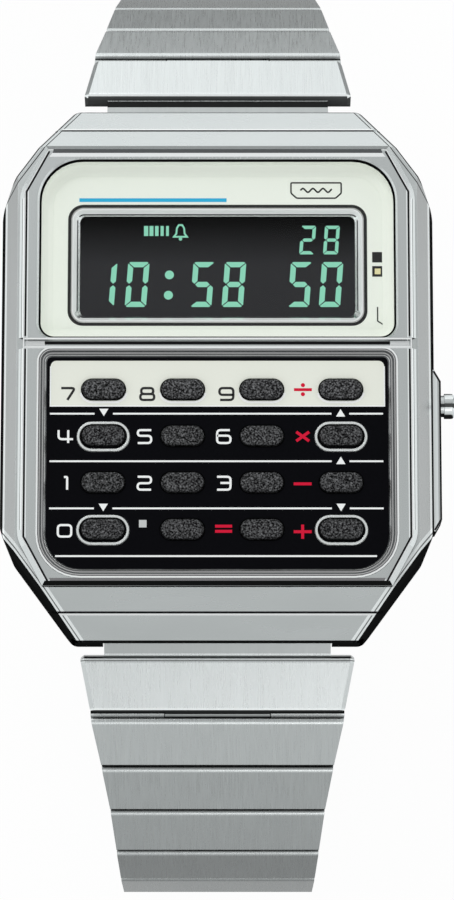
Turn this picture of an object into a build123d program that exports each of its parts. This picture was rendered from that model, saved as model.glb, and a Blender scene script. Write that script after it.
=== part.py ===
from build123d import *
import math
import os

# Calculator watch on a tapering link bracelet, standing on its closed clasp.
# All sizes are in millimetres and all angles in degrees.
# X points to 3 o'clock, Y to 12 o'clock and Z out of the face.
# The head is drawn with the underside of its back at zero and lifted at the end.

# Case
case_width = 34.4
case_length = 43.2
head_height = 8.2
back_thickness = 0.8
plate_thickness = 0.8
end_inset = 5.8
shoulder_inset = 1.0
shoulder_from_end = 6.55
side_from_end = 8.95
strip_low = 4.0
strip_length = 3.85
groove_from_end = 2.1
groove_width = 0.16
groove_depth = 0.12
side_edge_inset = 0.2
side_edge_z = 4.4
shoulder_edge_z = 5.4
side_top_inset = 1.35
side_corner_round = 2.0
end_corner_round = 0.8
underside_bevel = 0.8
rim_bevel = 0.2
upright_share = 0.05
upward_share = 0.5

# Bezel plate and its two windows
plate_side_margin = 1.55
plate_end_margin = 3.9
plate_corner_x = 2.0
plate_corner_y = 3.7
plate_bevel = 0.35
plate_corner_round = 3.0
plate_line_width = 0.1
plate_line_depth = 0.2
window_bevel = 0.15
divider_depth = 0.35
fit_gap = 0.03

divider_y = 1.585
divider_width = 0.87
window_side_frame = 1.55
window_end_frame = 1.15
window_low_round = 1.2
window_high_round = 3.4
window_floor = 6.2

keypad_side_frame = 1.6
keypad_end_frame = 0.72
keypad_low_round = 3.3
keypad_high_round = 1.0
keypad_floor = 6.6

# Display
mask_thickness = 0.4
print_gap = 0.04
crystal_bevel = 0.5
ring_side_panel = 2.48
ring_low_panel = 1.56
ring_high_panel = 3.61
ring_round = 1.0
ring_face = 0.18
ring_width = 0.7
ring_low_width = 0.64
ring_high_width = 0.59
glass_round = 0.5
ring_base = 6.1
lcd_thickness = 1.1
lcd_margin = 0.05
connector_inset = 0.9
connector_width = 1.0

# Keypad
rim_step_width = 0.22
rim_step_drop = 0.18
rim_slope = 0.2
rim_side_width = 0.63
rim_low_width = 0.6
rim_high_width = 0.48
keypad_plate_low_round = 2.5
keypad_plate_high_round = 0.6
keypad_plate_top = 7.8
key_left_margin = 4.47
key_right_margin = 3.72
key_high_margin = 2.75
key_low_margin = 3.14
key_columns = 4
key_rows = 4
key_length = 3.45
key_width = 1.66
key_gap = 0.06
key_proud = 0.45
key_crown = 0.4
flange_rim = 0.25
flange_thickness = 0.33
flange_play = 0.02
key_travel = 0.35
pip_radius = 0.7

# Module inside the case
cavity_side_wall = 4.6
cavity_end_wall = 6.0
cavity_round = 2.2
cavity_ceiling = 6.0
opening_side_ledge = 0.2
opening_high_ledge = 1.02
module_gap = 0.2
frame_base = 1.0
board_base = 3.3
board_thickness = 0.5
mat_side_gap = 0.5
mat_end_gap = 0.3
mat_high_gap = 0.2
mat_top = 5.6
battery_side_room = 2.6
battery_end_room = 1.0
battery_thickness = 1.6
battery_base = 1.25
battery_gap = 0.1
battery_edge = 0.25
clip_reach = 1.0
clip_width = 4.0
clip_thickness = 0.2
clip_window_radius = 0.9
buzzer_radius = 6.5
buzzer_thickness = 0.2
buzzer_end_room = 0.6

# Back, gasket and screws
back_side_margin = 1.3
back_end_margin = 4.7
back_corner_x = 2.4
back_corner_y = 3.4
back_edge = 0.25
gasket_inset = 0.25
gasket_width = 0.5
gasket_height = 0.5
screw_side_margin = 2.7
screw_end_margin = 8.0
screw_head_radius = 1.2
screw_head_depth = 0.45
screw_radius = 0.7
screw_length = 3.4
screw_slot_width = 0.3
screw_slot_depth = 0.2

# Guard and pusher on the 3 o'clock side
guard_past_side = 0.25
guard_high_y = 0.1
guard_low_z = 2.4
guard_high_z = 5.0
guard_proud = 0.5
guard_root = 0.6
guard_slant = 0.9
pusher_y = -2.6
pusher_z = 3.7
pusher_radius = 1.0
pusher_gap = 0.05
pusher_out = 1.15
pusher_skirt = 2.1
pusher_round = 0.3
pusher_neck_radius = 0.85
pusher_neck = 0.3
stem_radius = 0.6
stem_gap = 0.04
pusher_travel = 0.6
spring_room = 2.65
clip_radius = 0.95
clip_ring = 0.3
clip_recess_radius = 1.2
clip_recess = 0.45
stem_tail = 0.15
notch_gap = 0.2
spring_wire_radius = 0.11
spring_turns = 4
spring_side_gap = 0.05

# Lugs and spring bars
bar_from_end = 1.7
bar_z = 2.3
slot_side_wall = 2.35
slot_back = 1.35
slot_ceiling = 3.55
bar_radius = 0.65
bar_tip_radius = 0.4
bar_tip_reach = 0.7
bar_tip_gap = 0.02
bar_end_gap = 0.05
lug_hole_radius = 0.3
tongue_side_gap = 0.1
tongue_barrel_radius = 1.05
tongue_up = 0.55
tongue_down = 0.65
tongue_round_gap = 0.04

# Bracelet links: slope of each below the plane of the face, from the head on
first_reach = 7.0
upper_plate_start = 3.3
lower_plate_start = 2.45
link_pitch = 4.6
link_up = 1.0
link_down = 0.8
link_gap = 0.24
link_nose = 0.45
knuckle_radius = 0.62
knuckle_gap = 0.1
knuckle_side_gap = 0.06
centre_share = 0.42
pin_radius = 0.35
pin_gap = 0.03
pin_inset = 0.15
relief_angle = 22.0
head_corner = 0.7
upper_slopes = (19.0, 47.0, 50.0, 63.0, 78.0, 93.0, 110.0, 131.0)
lower_slopes = (18.0, 42.0, 48.0, 51.0, 68.0, 82.0, 101.0, 122.0, 143.0, 162.0)
end_slope = 162.0
flat_slope = 180.0
link_side_step = 0.5
link_width_shares = (1.0, 0.922, 0.849, 0.791, 0.752, 0.729, 0.716, 0.711)

# Clasp
loop_gap = 0.4
end_piece_length = 4.0
end_piece_inset = 1.25
tray_inset = 0.35
tray_up = 0.6
tray_down = 0.7
tray_side_rail = 3.8
tray_window_length = 7.0
tray_window_gap = 3.2
tray_windows = 4
cover_gap = 0.3
cover_thickness = 0.9
cover_wall = 0.8
cover_side_gap = 0.12
cover_start = 2.6
cover_wall_up = 0.5
cover_edge = 0.3
cover_axis_back = 1.3
cover_axis_down = 0.25
cover_base_back = 1.3
cover_boss_radius = 0.95
cover_corner = 1.2

# Cuts run this far past the faces that they open.
overrun = 1.0

# Places worked out from the sizes above
case_top = head_height - plate_thickness
half_width = case_width / 2
half_length = case_length / 2
end_half_width = half_width - end_inset
shoulder_half_width = half_width - shoulder_inset
shoulder_y = half_length - shoulder_from_end
side_y = half_length - side_from_end
strip_inner_y = half_length - strip_length

plate_edge_half_x = half_width - plate_side_margin
plate_edge_half_y = half_length - plate_end_margin
window_half_x = plate_edge_half_x - window_side_frame
window_low_y = divider_y + divider_width / 2
window_high_y = plate_edge_half_y - window_end_frame
ring_half_x = window_half_x - ring_side_panel
ring_low_y = window_low_y + ring_low_panel
ring_high_y = window_high_y - ring_high_panel
glass_half_x = ring_half_x - ring_width
glass_low_y = ring_low_y + ring_low_width
glass_high_y = ring_high_y - ring_high_width
connector_half_x = glass_half_x - connector_inset

keypad_half_x = plate_edge_half_x - keypad_side_frame
keypad_low_y = keypad_end_frame - plate_edge_half_y
keypad_high_y = divider_y - divider_width / 2
keypad_plate_half_x = keypad_half_x - rim_side_width
keypad_plate_low_y = keypad_low_y + rim_low_width
keypad_plate_high_y = keypad_high_y - rim_high_width
key_first_x = key_left_margin - keypad_plate_half_x
key_first_y = keypad_plate_high_y - key_high_margin
key_last_x = keypad_plate_half_x - key_right_margin
key_last_y = keypad_plate_low_y + key_low_margin
key_pitch_x = (key_last_x - key_first_x) / (key_columns - 1)
key_pitch_y = (key_first_y - key_last_y) / (key_rows - 1)

cavity_half_x = half_width - cavity_side_wall
cavity_half_y = half_length - cavity_end_wall
keypad_opening_half_x = cavity_half_x - opening_side_ledge
keypad_opening_high_y = keypad_high_y - opening_high_ledge
mat_half_x = keypad_opening_half_x - mat_side_gap
mat_low_y = mat_end_gap - cavity_half_y
mat_high_y = keypad_opening_high_y - mat_high_gap
battery_radius = cavity_half_x - battery_side_room
battery_y = cavity_half_y - battery_radius - battery_end_room
clip_length = 2 * (battery_radius + clip_reach)
buzzer_y = buzzer_radius + buzzer_end_room - cavity_half_y
back_half_x = half_width - back_side_margin
back_half_y = half_length - back_end_margin
screw_x = half_width - screw_side_margin
screw_y = half_length - screw_end_margin

guard_low_y = -side_y - guard_past_side
guard_face = half_width + guard_proud
cap_out = guard_face + pusher_out
cap_in = cap_out - pusher_skirt
seat_x = cap_in - spring_room
bar_y = half_length - bar_from_end
slot_half_x = end_half_width - slot_side_wall

first_link_width = 2 * (end_half_width - link_side_step)
last_link_width = first_link_width * link_width_shares[-1]
end_piece_width = last_link_width - 2 * end_piece_inset
tray_half_x = last_link_width / 2 - tray_inset
tray_window_half_x = tray_half_x - tray_side_rail


def prism(points, z_low, z_high):
    """Flat outline in X and Y raised from one level to another."""
    sketch = Plane(origin=(0, 0, z_low)) * Polygon(*points, align=None)
    return extrude(sketch, amount=z_high - z_low, dir=(0, 0, 1))


def prism_x(points, x_low, x_high):
    """Outline in Y and Z drawn out along X."""
    plane = Plane(origin=(x_low, 0, 0), x_dir=(0, 1, 0), z_dir=(1, 0, 0))
    return extrude(plane * Polygon(*points, align=None), amount=x_high - x_low, dir=(1, 0, 0))


def prism_y(points, y_low, y_high):
    """Outline in X and Z drawn out along Y."""
    plane = Plane(origin=(0, y_low, 0), x_dir=(1, 0, 0), z_dir=(0, -1, 0))
    return extrude(plane * Polygon(*points, align=None), amount=y_high - y_low, dir=(0, 1, 0))


def block(x_low, x_high, y_low, y_high, z_low, z_high):
    corners = ((x_low, y_low), (x_high, y_low), (x_high, y_high), (x_low, y_high))
    return prism(corners, z_low, z_high)


def rod_x(radius, x_low, x_high, y, z):
    plane = Plane(origin=(x_low, y, z), x_dir=(0, 1, 0), z_dir=(1, 0, 0))
    return extrude(plane * Circle(radius), amount=x_high - x_low, dir=(1, 0, 0))


def rod_z(radius, x, y, z_low, z_high):
    return extrude(Plane(origin=(x, y, z_low)) * Circle(radius), amount=z_high - z_low, dir=(0, 0, 1))


def window(half_x, y_low, y_high, round_low, round_high, z_low, z_high):
    """Slab with its own corner rounding at the low and at the high end."""
    sketch = Pos(0, (y_low + y_high) / 2) * Rectangle(2 * half_x, y_high - y_low)
    sketch = fillet(sketch.vertices().group_by(Axis.Y)[0], round_low)
    sketch = fillet(sketch.vertices().group_by(Axis.Y)[-1], round_high)
    return extrude(Plane(origin=(0, 0, z_low)) * sketch, amount=z_high - z_low, dir=(0, 0, 1))


def flared(half_x, y_low, y_high, round_low, round_high, flare, z_high):
    """Cutter that has the given outline below and widens by the flare up to a level."""
    slab = window(
        half_x + flare, y_low - flare, y_high + flare, round_low + flare, round_high + flare,
        z_high - flare, z_high + overrun,
    )
    return chamfer(slab.faces().sort_by(Axis.Z)[0].edges(), flare)


def obround(x, y, length, width, z_low, z_high):
    sketch = Plane(origin=(x, y, z_low)) * SlotOverall(length, width)
    return extrude(sketch, amount=z_high - z_low, dir=(0, 0, 1))


def bevelled(shape, size):
    """Bevel all edges of the highest face."""
    return chamfer(shape.faces().sort_by(Axis.Z)[-1].edges(), size)


def mirrored(points):
    """Outline given for one quarter, from the X side to the Y side, made whole."""
    right = [(x, y) for x, y in points]
    top_left = [(-x, y) for x, y in reversed(points)]
    bottom_left = [(-x, -y) for x, y in points]
    bottom_right = [(x, -y) for x, y in reversed(points)]
    return right + top_left + bottom_left + bottom_right


shapes = {}

# Case body
case_quarter = ((half_width, side_y), (shoulder_half_width, shoulder_y), (end_half_width, half_length))
case_block = prism(mirrored(case_quarter), back_thickness, case_top)
corner_edges = case_block.edges().filter_by(Axis.Z)
side_corners = [edge for edge in corner_edges if abs(edge.center().X) > shoulder_half_width - fit_gap]
case_block = fillet(side_corners, side_corner_round)
corner_edges = case_block.edges().filter_by(Axis.Z)
end_corners = [edge for edge in corner_edges if abs(edge.center().Y) > half_length - fit_gap]
case_block = fillet(end_corners, end_corner_round)

strip_slope = (case_top - strip_low) / (half_length - strip_inner_y)
groove_y = half_length - groove_from_end


def strip_z(y):
    return strip_low + (half_length - y) * strip_slope


groove_in = groove_y - groove_width / 2
groove_out = groove_y + groove_width / 2
strip_side = (
    (half_length, back_thickness + underside_bevel),
    (half_length, strip_low),
    (groove_out, strip_z(groove_out)),
    (groove_out - groove_depth, strip_z(groove_out) - groove_depth),
    (groove_in, strip_z(groove_in)),
    (strip_inner_y, case_top),
)
bottom_corner = (half_length - underside_bevel, back_thickness)
length_profile = [bottom_corner] + list(strip_side)
length_profile += [(-y, z) for y, z in reversed(length_profile)]
case_block = case_block & prism_x(length_profile, -half_width, half_width)

side_profile = [
    (half_width - underside_bevel, back_thickness),
    (half_width, back_thickness + underside_bevel),
    (half_width, side_edge_z),
    (half_width - side_edge_inset, shoulder_edge_z),
    (half_width - side_top_inset, case_top),
]
side_profile += [(-x, z) for x, z in reversed(side_profile)]
case_block = case_block & prism_y(side_profile, -half_length, half_length)


def normal_z(face):
    return face.normal_at().Z


def rim_edges(shape):
    """Edges above the ends' lower line where an upward face meets an upright one."""
    found = []
    for edge in shape.edges():
        if edge.center().Z < strip_low - fit_gap:
            continue
        touching = [face for face in shape.faces() if any(other.is_same(edge) for other in face.edges())]
        upright = [face for face in touching if abs(normal_z(face)) < upright_share]
        upward = [face for face in touching if normal_z(face) > upward_share]
        if len(upright) == 1 and len(upward) == 1:
            found.append(edge)
    return found


case_block = chamfer(rim_edges(case_block), rim_bevel)

window_cut = window(
    window_half_x, window_low_y, window_high_y, window_low_round, window_high_round,
    window_floor, head_height + overrun,
)
keypad_cut = window(
    keypad_half_x, keypad_low_y, keypad_high_y, keypad_low_round, keypad_high_round,
    keypad_floor, head_height + overrun,
)
cavity = window(
    cavity_half_x, -cavity_half_y, cavity_half_y, cavity_round, cavity_round,
    back_thickness - overrun, cavity_ceiling,
)
display_opening = window(
    ring_half_x + lcd_margin, ring_low_y - lcd_margin, ring_high_y + lcd_margin,
    ring_round, ring_round, cavity_ceiling - overrun, window_floor + overrun,
)
keypad_opening = window(
    keypad_opening_half_x, -cavity_half_y, keypad_opening_high_y,
    cavity_round, ring_round, cavity_ceiling - overrun, keypad_floor + overrun,
)
gasket_seat = window(
    cavity_half_x + gasket_inset + gasket_width, -cavity_half_y - gasket_inset - gasket_width,
    cavity_half_y + gasket_inset + gasket_width, cavity_round + gasket_inset + gasket_width,
    cavity_round + gasket_inset + gasket_width, back_thickness, back_thickness + gasket_height,
)
gasket_core = window(
    cavity_half_x + gasket_inset, -cavity_half_y - gasket_inset, cavity_half_y + gasket_inset,
    cavity_round + gasket_inset, cavity_round + gasket_inset,
    back_thickness, back_thickness + gasket_height,
)
gasket = gasket_seat - gasket_core

case_body = case_block - window_cut - keypad_cut - cavity - display_opening - keypad_opening - gasket
for side in (-1, 1):
    slot_near = min(side * (bar_y - slot_back), side * (half_length + overrun))
    slot_far = max(side * (bar_y - slot_back), side * (half_length + overrun))
    slot = block(-slot_half_x, slot_half_x, slot_near, slot_far, back_thickness - overrun, slot_ceiling)
    case_body -= slot
    hole_half = slot_half_x + bar_tip_reach + bar_end_gap
    case_body -= rod_x(bar_tip_radius + bar_tip_gap, -hole_half, hole_half, side * bar_y, bar_z)
    case_body -= rod_x(lug_hole_radius, -half_width, half_width, side * bar_y, bar_z) - rod_x(
        bar_tip_radius + bar_tip_gap + overrun, -hole_half, hole_half, side * bar_y, bar_z
    )
screw_places = [(sx * screw_x, sy * screw_y) for sx in (-1, 1) for sy in (-1, 1)]
for x, y in screw_places:
    case_body -= rod_z(screw_radius, x, y, back_thickness - overrun, screw_length)

# Pusher bore: the cap and spring run in the wide part, the stem in the narrow part.
recess_x = cavity_half_x + clip_recess
case_body -= rod_x(stem_radius + stem_gap, cavity_half_x - overrun, half_width + overrun, pusher_y, pusher_z)
case_body -= rod_x(pusher_radius + pusher_gap, seat_x, half_width + overrun, pusher_y, pusher_z)
case_body -= rod_x(clip_recess_radius, cavity_half_x - overrun, recess_x, pusher_y, pusher_z)

# The guard is let into the case side by its root.
guard_floor = half_width - guard_root
guard_points = (
    (guard_floor, guard_low_y),
    (half_width, guard_low_y),
    (guard_face, guard_low_y + guard_slant),
    (guard_face, guard_high_y - guard_slant),
    (half_width, guard_high_y),
    (guard_floor, guard_high_y),
)
guard = prism(guard_points, guard_low_z, guard_high_z)
case_body -= guard
guard -= rod_x(pusher_radius + pusher_gap, guard_floor - overrun, guard_face + overrun, pusher_y, pusher_z)
shapes["case_body"] = case_body
shapes["pusher_guard"] = guard

# Bezel plate
plate_quarter = (
    (plate_edge_half_x, plate_edge_half_y - plate_corner_y),
    (plate_edge_half_x - plate_corner_x, plate_edge_half_y),
)
bezel = prism(mirrored(plate_quarter), case_top, head_height)
plate_corners = [
    edge for edge in bezel.edges().filter_by(Axis.Z)
    if abs(abs(edge.center().X) - plate_edge_half_x) < fit_gap
]
bezel = fillet(plate_corners, plate_corner_round)
bezel = bevelled(bezel, plate_bevel)
plate_flat = bezel.faces().sort_by(Axis.Z)[-1]
line_outer = extrude(plate_flat, amount=-plate_line_depth)
line_inner = extrude(offset(plate_flat, amount=-plate_line_width), amount=-plate_line_depth)
bezel -= line_outer - line_inner
bezel -= block(
    -half_width, half_width, divider_y - divider_width / 2, divider_y + divider_width / 2,
    head_height - divider_depth, head_height + overrun,
)
window_mouth = flared(
    window_half_x, window_low_y, window_high_y, window_low_round, window_high_round,
    window_bevel, head_height,
)
keypad_mouth = flared(
    keypad_half_x, keypad_low_y, keypad_high_y, keypad_low_round, keypad_high_round,
    window_bevel, head_height,
)
shapes["bezel_plate"] = bezel - window_cut - keypad_cut - window_mouth - keypad_mouth

# Crystal, cream mask, display ring and display
crystal = window(
    window_half_x - fit_gap, window_low_y + fit_gap, window_high_y - fit_gap,
    window_low_round, window_high_round, window_floor + mask_thickness + print_gap, head_height,
)
shapes["crystal"] = bevelled(crystal, crystal_bevel)
ring_hole = window(
    ring_half_x + fit_gap, ring_low_y - fit_gap, ring_high_y + fit_gap, ring_round, ring_round,
    window_floor - overrun, head_height,
)
mask = window(
    window_half_x - fit_gap, window_low_y + fit_gap, window_high_y - fit_gap,
    window_low_round, window_high_round, window_floor, window_floor + mask_thickness,
)
shapes["face_mask"] = mask - ring_hole
ring_top = window_floor + mask_thickness
ring = window(ring_half_x, ring_low_y, ring_high_y, ring_round, ring_round, ring_base, ring_top)
mouth = window(
    ring_half_x - ring_face, ring_low_y + ring_face, ring_high_y - ring_face,
    ring_round - ring_face, ring_round - ring_face, ring_top, ring_top + overrun,
)
throat = window(
    glass_half_x, glass_low_y, glass_high_y, glass_round, glass_round,
    ring_base - overrun, ring_base,
)
funnel = loft([throat.faces().sort_by(Axis.Z)[-1], mouth.faces().sort_by(Axis.Z)[0]])
shapes["display_ring"] = ring - funnel
shapes["lcd_panel"] = window(
    ring_half_x - lcd_margin, ring_low_y + lcd_margin, ring_high_y - lcd_margin,
    ring_round, ring_round, ring_base - lcd_thickness, ring_base,
)
board_top = board_base + board_thickness
connector_low = glass_low_y - lcd_margin
connector_high = glass_high_y + lcd_margin
connectors = [
    block(-connector_half_x, connector_half_x, y, y + connector_width, board_top, ring_base - lcd_thickness)
    for y in (connector_low, connector_high - connector_width)
]
shapes["display_connectors"] = Compound(connectors)

# Keypad rim, keypad plate and keys
rim = window(
    keypad_half_x - fit_gap, keypad_low_y + fit_gap, keypad_high_y - fit_gap,
    keypad_low_round, keypad_high_round, keypad_floor, head_height,
)
rim -= window(
    keypad_half_x - rim_step_width, keypad_low_y + rim_step_width, keypad_high_y - rim_step_width,
    keypad_low_round - rim_step_width, keypad_high_round - rim_step_width,
    head_height - rim_step_drop, head_height + overrun,
)
rim -= window(
    keypad_plate_half_x + fit_gap, keypad_plate_low_y - fit_gap, keypad_plate_high_y + fit_gap,
    keypad_plate_low_round, keypad_plate_high_round, keypad_floor - overrun, head_height + overrun,
)
rim -= flared(
    keypad_plate_half_x + fit_gap, keypad_plate_low_y - fit_gap, keypad_plate_high_y + fit_gap,
    keypad_plate_low_round, keypad_plate_high_round, rim_slope, head_height - rim_step_drop,
)
shapes["keypad_rim"] = rim
keypad_plate = window(
    keypad_plate_half_x, keypad_plate_low_y, keypad_plate_high_y,
    keypad_plate_low_round, keypad_plate_high_round, keypad_floor, keypad_plate_top,
)
flange_top = keypad_plate_top - (keypad_plate_top - keypad_floor) / 2
key_names = (
    ("key_7", "key_8", "key_9", "key_divide"),
    ("key_4", "key_5", "key_6", "key_multiply"),
    ("key_1", "key_2", "key_3", "key_minus"),
    ("key_0", "key_point", "key_equals", "key_plus"),
)
key_places = {
    key_names[row][column]: (key_first_x + column * key_pitch_x, key_first_y - row * key_pitch_y)
    for row in range(key_rows)
    for column in range(key_columns)
}
flange_base = flange_top - flange_play - flange_thickness
mat = window(
    mat_half_x, mat_low_y, mat_high_y, cavity_round - module_gap, ring_round,
    board_top, mat_top,
)
for name, (x, y) in key_places.items():
    hole_length = key_length + 2 * key_gap
    hole_width = key_width + 2 * key_gap
    keypad_plate -= obround(x, y, hole_length, hole_width, keypad_floor, keypad_plate_top + overrun)
    flange_length = key_length + 2 * flange_rim
    flange_width = key_width + 2 * flange_rim
    keypad_plate -= obround(
        x, y, flange_length + 2 * key_gap, flange_width + 2 * key_gap,
        keypad_floor - overrun, flange_top,
    )
    cap = obround(x, y, key_length, key_width, flange_base, keypad_plate_top + key_proud)
    cap = fillet(cap.faces().sort_by(Axis.Z)[-1].edges(), key_crown)
    cap += obround(x, y, flange_length, flange_width, flange_base, flange_base + flange_thickness)
    shapes[name] = cap
    mat += rod_z(pip_radius, x, y, mat_top, flange_base - key_travel - flange_play)
shapes["keypad_plate"] = keypad_plate
shapes["key_mat"] = mat

# Module: board on a frame that holds the battery, with a strap over the battery.
# Both have a notch that the inner end of the pusher moves in.
ring_out = recess_x - flange_play
stem_end = ring_out - clip_ring - stem_tail
notch = block(
    stem_end - pusher_travel - notch_gap, cavity_half_x + overrun,
    pusher_y - clip_recess_radius, pusher_y + clip_recess_radius,
    pusher_z - clip_recess_radius, pusher_z + clip_recess_radius,
)
board = window(
    cavity_half_x - module_gap, module_gap - cavity_half_y, cavity_half_y - module_gap,
    cavity_round - module_gap, cavity_round - module_gap, board_base, board_top,
)
shapes["circuit_board"] = board - notch
frame = window(
    cavity_half_x - module_gap, module_gap - cavity_half_y, cavity_half_y - module_gap,
    cavity_round - module_gap, cavity_round - module_gap, frame_base, board_base,
)
frame -= rod_z(
    battery_radius + battery_gap, 0, battery_y,
    frame_base - overrun, battery_base + battery_thickness + battery_gap,
)
clip_low = frame_base + flange_play
frame -= block(
    -clip_length / 2 - fit_gap, clip_length / 2 + fit_gap,
    battery_y - clip_width / 2 - fit_gap, battery_y + clip_width / 2 + fit_gap,
    frame_base - overrun, battery_base,
)
shapes["module_frame"] = frame - notch
battery = rod_z(battery_radius, 0, battery_y, battery_base, battery_base + battery_thickness)
battery = fillet(battery.edges().filter_by(GeomType.CIRCLE), battery_edge)
shapes["battery"] = battery
clip = block(
    -clip_length / 2, clip_length / 2, battery_y - clip_width / 2, battery_y + clip_width / 2,
    clip_low, battery_base,
)
for x in (-clip_length / 2 + clip_width / 2, clip_length / 2 - clip_width / 2):
    clip -= rod_z(clip_window_radius, x, battery_y, clip_low - overrun, battery_base + overrun)
shapes["battery_clip"] = clip
shapes["buzzer_disc"] = rod_z(
    buzzer_radius, 0, buzzer_y, back_thickness, back_thickness + buzzer_thickness
)

# Back with countersunk screws, and its gasket
back_quarter = ((back_half_x, back_half_y - back_corner_y), (back_half_x - back_corner_x, back_half_y))
back = prism(mirrored(back_quarter), 0, back_thickness)
back = chamfer(back.faces().sort_by(Axis.Z)[0].edges(), back_edge)
screws = []
for x, y in screw_places:
    back -= rod_z(screw_radius, x, y, -overrun, back_thickness + overrun)
    back -= rod_z(screw_head_radius, x, y, -overrun, screw_head_depth)
    screw = rod_z(screw_head_radius - fit_gap, x, y, 0, screw_head_depth)
    screw += rod_z(screw_radius, x, y, 0, screw_length)
    screw -= block(
        x - screw_head_radius, x + screw_head_radius, y - screw_slot_width / 2,
        y + screw_slot_width / 2, -overrun, screw_slot_depth,
    )
    screws.append(screw)
shapes["case_back"] = back
shapes["case_back_screws"] = Compound(screws)
shapes["back_gasket"] = gasket

# Pusher: cap, stem and the retaining ring at its inner end
pusher = rod_x(pusher_radius, cap_in, cap_out, pusher_y, pusher_z)
pusher = fillet(pusher.faces().sort_by(Axis.X)[-1].edges(), pusher_round)
neck = rod_x(pusher_radius + overrun, guard_face + flange_play, guard_face + flange_play + pusher_neck, pusher_y, pusher_z)
neck -= rod_x(pusher_neck_radius, guard_face - overrun, guard_face + overrun, pusher_y, pusher_z)
pusher -= neck
pusher += rod_x(stem_radius, stem_end, cap_in, pusher_y, pusher_z)
pusher += rod_x(clip_radius, ring_out - clip_ring, ring_out, pusher_y, pusher_z)
shapes["mode_pusher"] = pusher

# Return spring, wound round the stem between its seat and the cap
spring_mean = pusher_radius - spring_side_gap - spring_wire_radius
spring_length = cap_in - seat_x - 2 * spring_wire_radius - 2 * flange_play
spring_path = Helix(pitch=spring_length / spring_turns, height=spring_length, radius=spring_mean)
spring_start = Plane(origin=spring_path @ 0, z_dir=spring_path % 0)
spring = sweep(spring_start * Circle(spring_wire_radius), path=spring_path)
spring_seat = Plane(
    origin=(seat_x + spring_wire_radius + flange_play, pusher_y, pusher_z),
    x_dir=(0, 1, 0), z_dir=(1, 0, 0),
)
shapes["pusher_spring"] = spring_seat.location * spring

# Spring bars
bars = []
for side in (-1, 1):
    body_half = slot_half_x - bar_end_gap
    bar = rod_x(bar_radius, -body_half, body_half, side * bar_y, bar_z)
    tip_half = slot_half_x + bar_tip_reach
    bar += rod_x(bar_tip_radius, -tip_half, tip_half, side * bar_y, bar_z)
    bars.append(bar)
shapes["spring_bars"] = Compound(bars)


# Bracelet
def step(place, slope, reach, side):
    """Hinge place at the far end of a link that starts at the given place."""
    y, z = place
    turn = math.radians(slope)
    return (y + side * reach * math.cos(turn), z - reach * math.sin(turn))


def link_plane(place, slope, side):
    """Local frame of a link: X across, Y along it away from the head, Z outward."""
    turn = math.radians(slope)
    return Plane(
        origin=(0, place[0], place[1]),
        x_dir=(side, 0, 0),
        z_dir=(0, side * math.sin(turn), math.cos(turn)),
    )


def width_at(number):
    """Bracelet width at the head end of a link, counted from zero."""
    last = len(link_width_shares) - 1
    return first_link_width * link_width_shares[min(number, last)]


def link_body(number, start, length, has_head_knuckle):
    """Plate with its knuckles and pin, in the link's own frame."""
    head_width = width_at(number)
    far_width = width_at(number + 1)
    relief = link_down * math.tan(math.radians(relief_angle))
    head_edge = start
    far_edge = length - link_gap / 2
    profile = (
        (head_edge, 0),
        (head_edge, link_up),
        (far_edge, link_up),
        (far_edge, 0),
        (far_edge - relief, -link_down),
        (head_edge + relief, -link_down),
    )
    half = head_width / 2
    body = prism_x(profile, -half, half)
    nose = body.edges().filter_by(Axis.X).group_by(Axis.Z)[-1].sort_by(Axis.Y)[0]
    body = fillet(nose, link_nose)
    lead = start if not has_head_knuckle else 0
    taper = (far_width - head_width) / 2 / (length - lead)
    reach_low = -knuckle_radius - overrun
    reach_high = length + knuckle_radius + overrun
    outline = (
        (-half - taper * (reach_low - lead), reach_low),
        (half + taper * (reach_low - lead), reach_low),
        (half + taper * (reach_high - lead), reach_high),
        (-half - taper * (reach_high - lead), reach_high),
    )
    centre_half = centre_share * far_width / 2
    room = knuckle_radius + knuckle_gap
    far_half = far_width
    side_from = centre_half - knuckle_side_gap
    for sign in (-1, 1):
        low = min(sign * side_from, sign * far_half)
        high = max(sign * side_from, sign * far_half)
        body -= rod_x(room, low, high, length, 0)
    centre_barrel = centre_half - knuckle_side_gap
    body += rod_x(knuckle_radius, -centre_barrel, centre_barrel, length, 0)
    if has_head_knuckle:
        head_centre = centre_share * head_width / 2
        body -= rod_x(room, -head_centre, head_centre, 0, 0)
        for sign in (-1, 1):
            low = min(sign * head_centre, sign * half)
            high = max(sign * head_centre, sign * half)
            body += rod_x(knuckle_radius, low, high, 0, 0)
    body = body & prism(outline, -link_down - overrun, link_up + overrun)
    body -= rod_x(pin_radius + pin_gap, -centre_half, centre_half, length, 0)
    solids = [body]
    if has_head_knuckle:
        pin_half = half - pin_inset
        pin = rod_x(pin_radius, -pin_half, pin_half, 0, 0)
        solids = [body - pin, pin]
    return solids


def first_link(plate_start):
    """Link with the tongue that turns on the spring bar."""
    solids = link_body(0, plate_start, first_reach, False)
    body = solids[0]
    corner_half = width_at(0) / 2
    corners = body.edges().filter_by(Axis.Z).sort_by(Axis.Y)[:2]
    if len(corners) == 2:
        body = chamfer(corners, head_corner / 2)
    tongue_half = slot_half_x - tongue_side_gap
    tongue = block(
        -tongue_half, tongue_half, 0, plate_start + knuckle_radius, -tongue_down, tongue_up
    )
    tongue += rod_x(tongue_barrel_radius, -tongue_half, tongue_half, 0, 0)
    body += tongue
    body -= rod_x(bar_radius + tongue_round_gap, -corner_half, corner_half, 0, 0)
    return [body]


def chain(side, slopes):
    """Places of the hinges along one half of the bracelet, from the spring bar on."""
    places = [(side * bar_y, bar_z)]
    for number, slope in enumerate(slopes):
        reach = link_pitch if number else first_reach
        places.append(step(places[-1], slope, reach, side))
    return places


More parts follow.
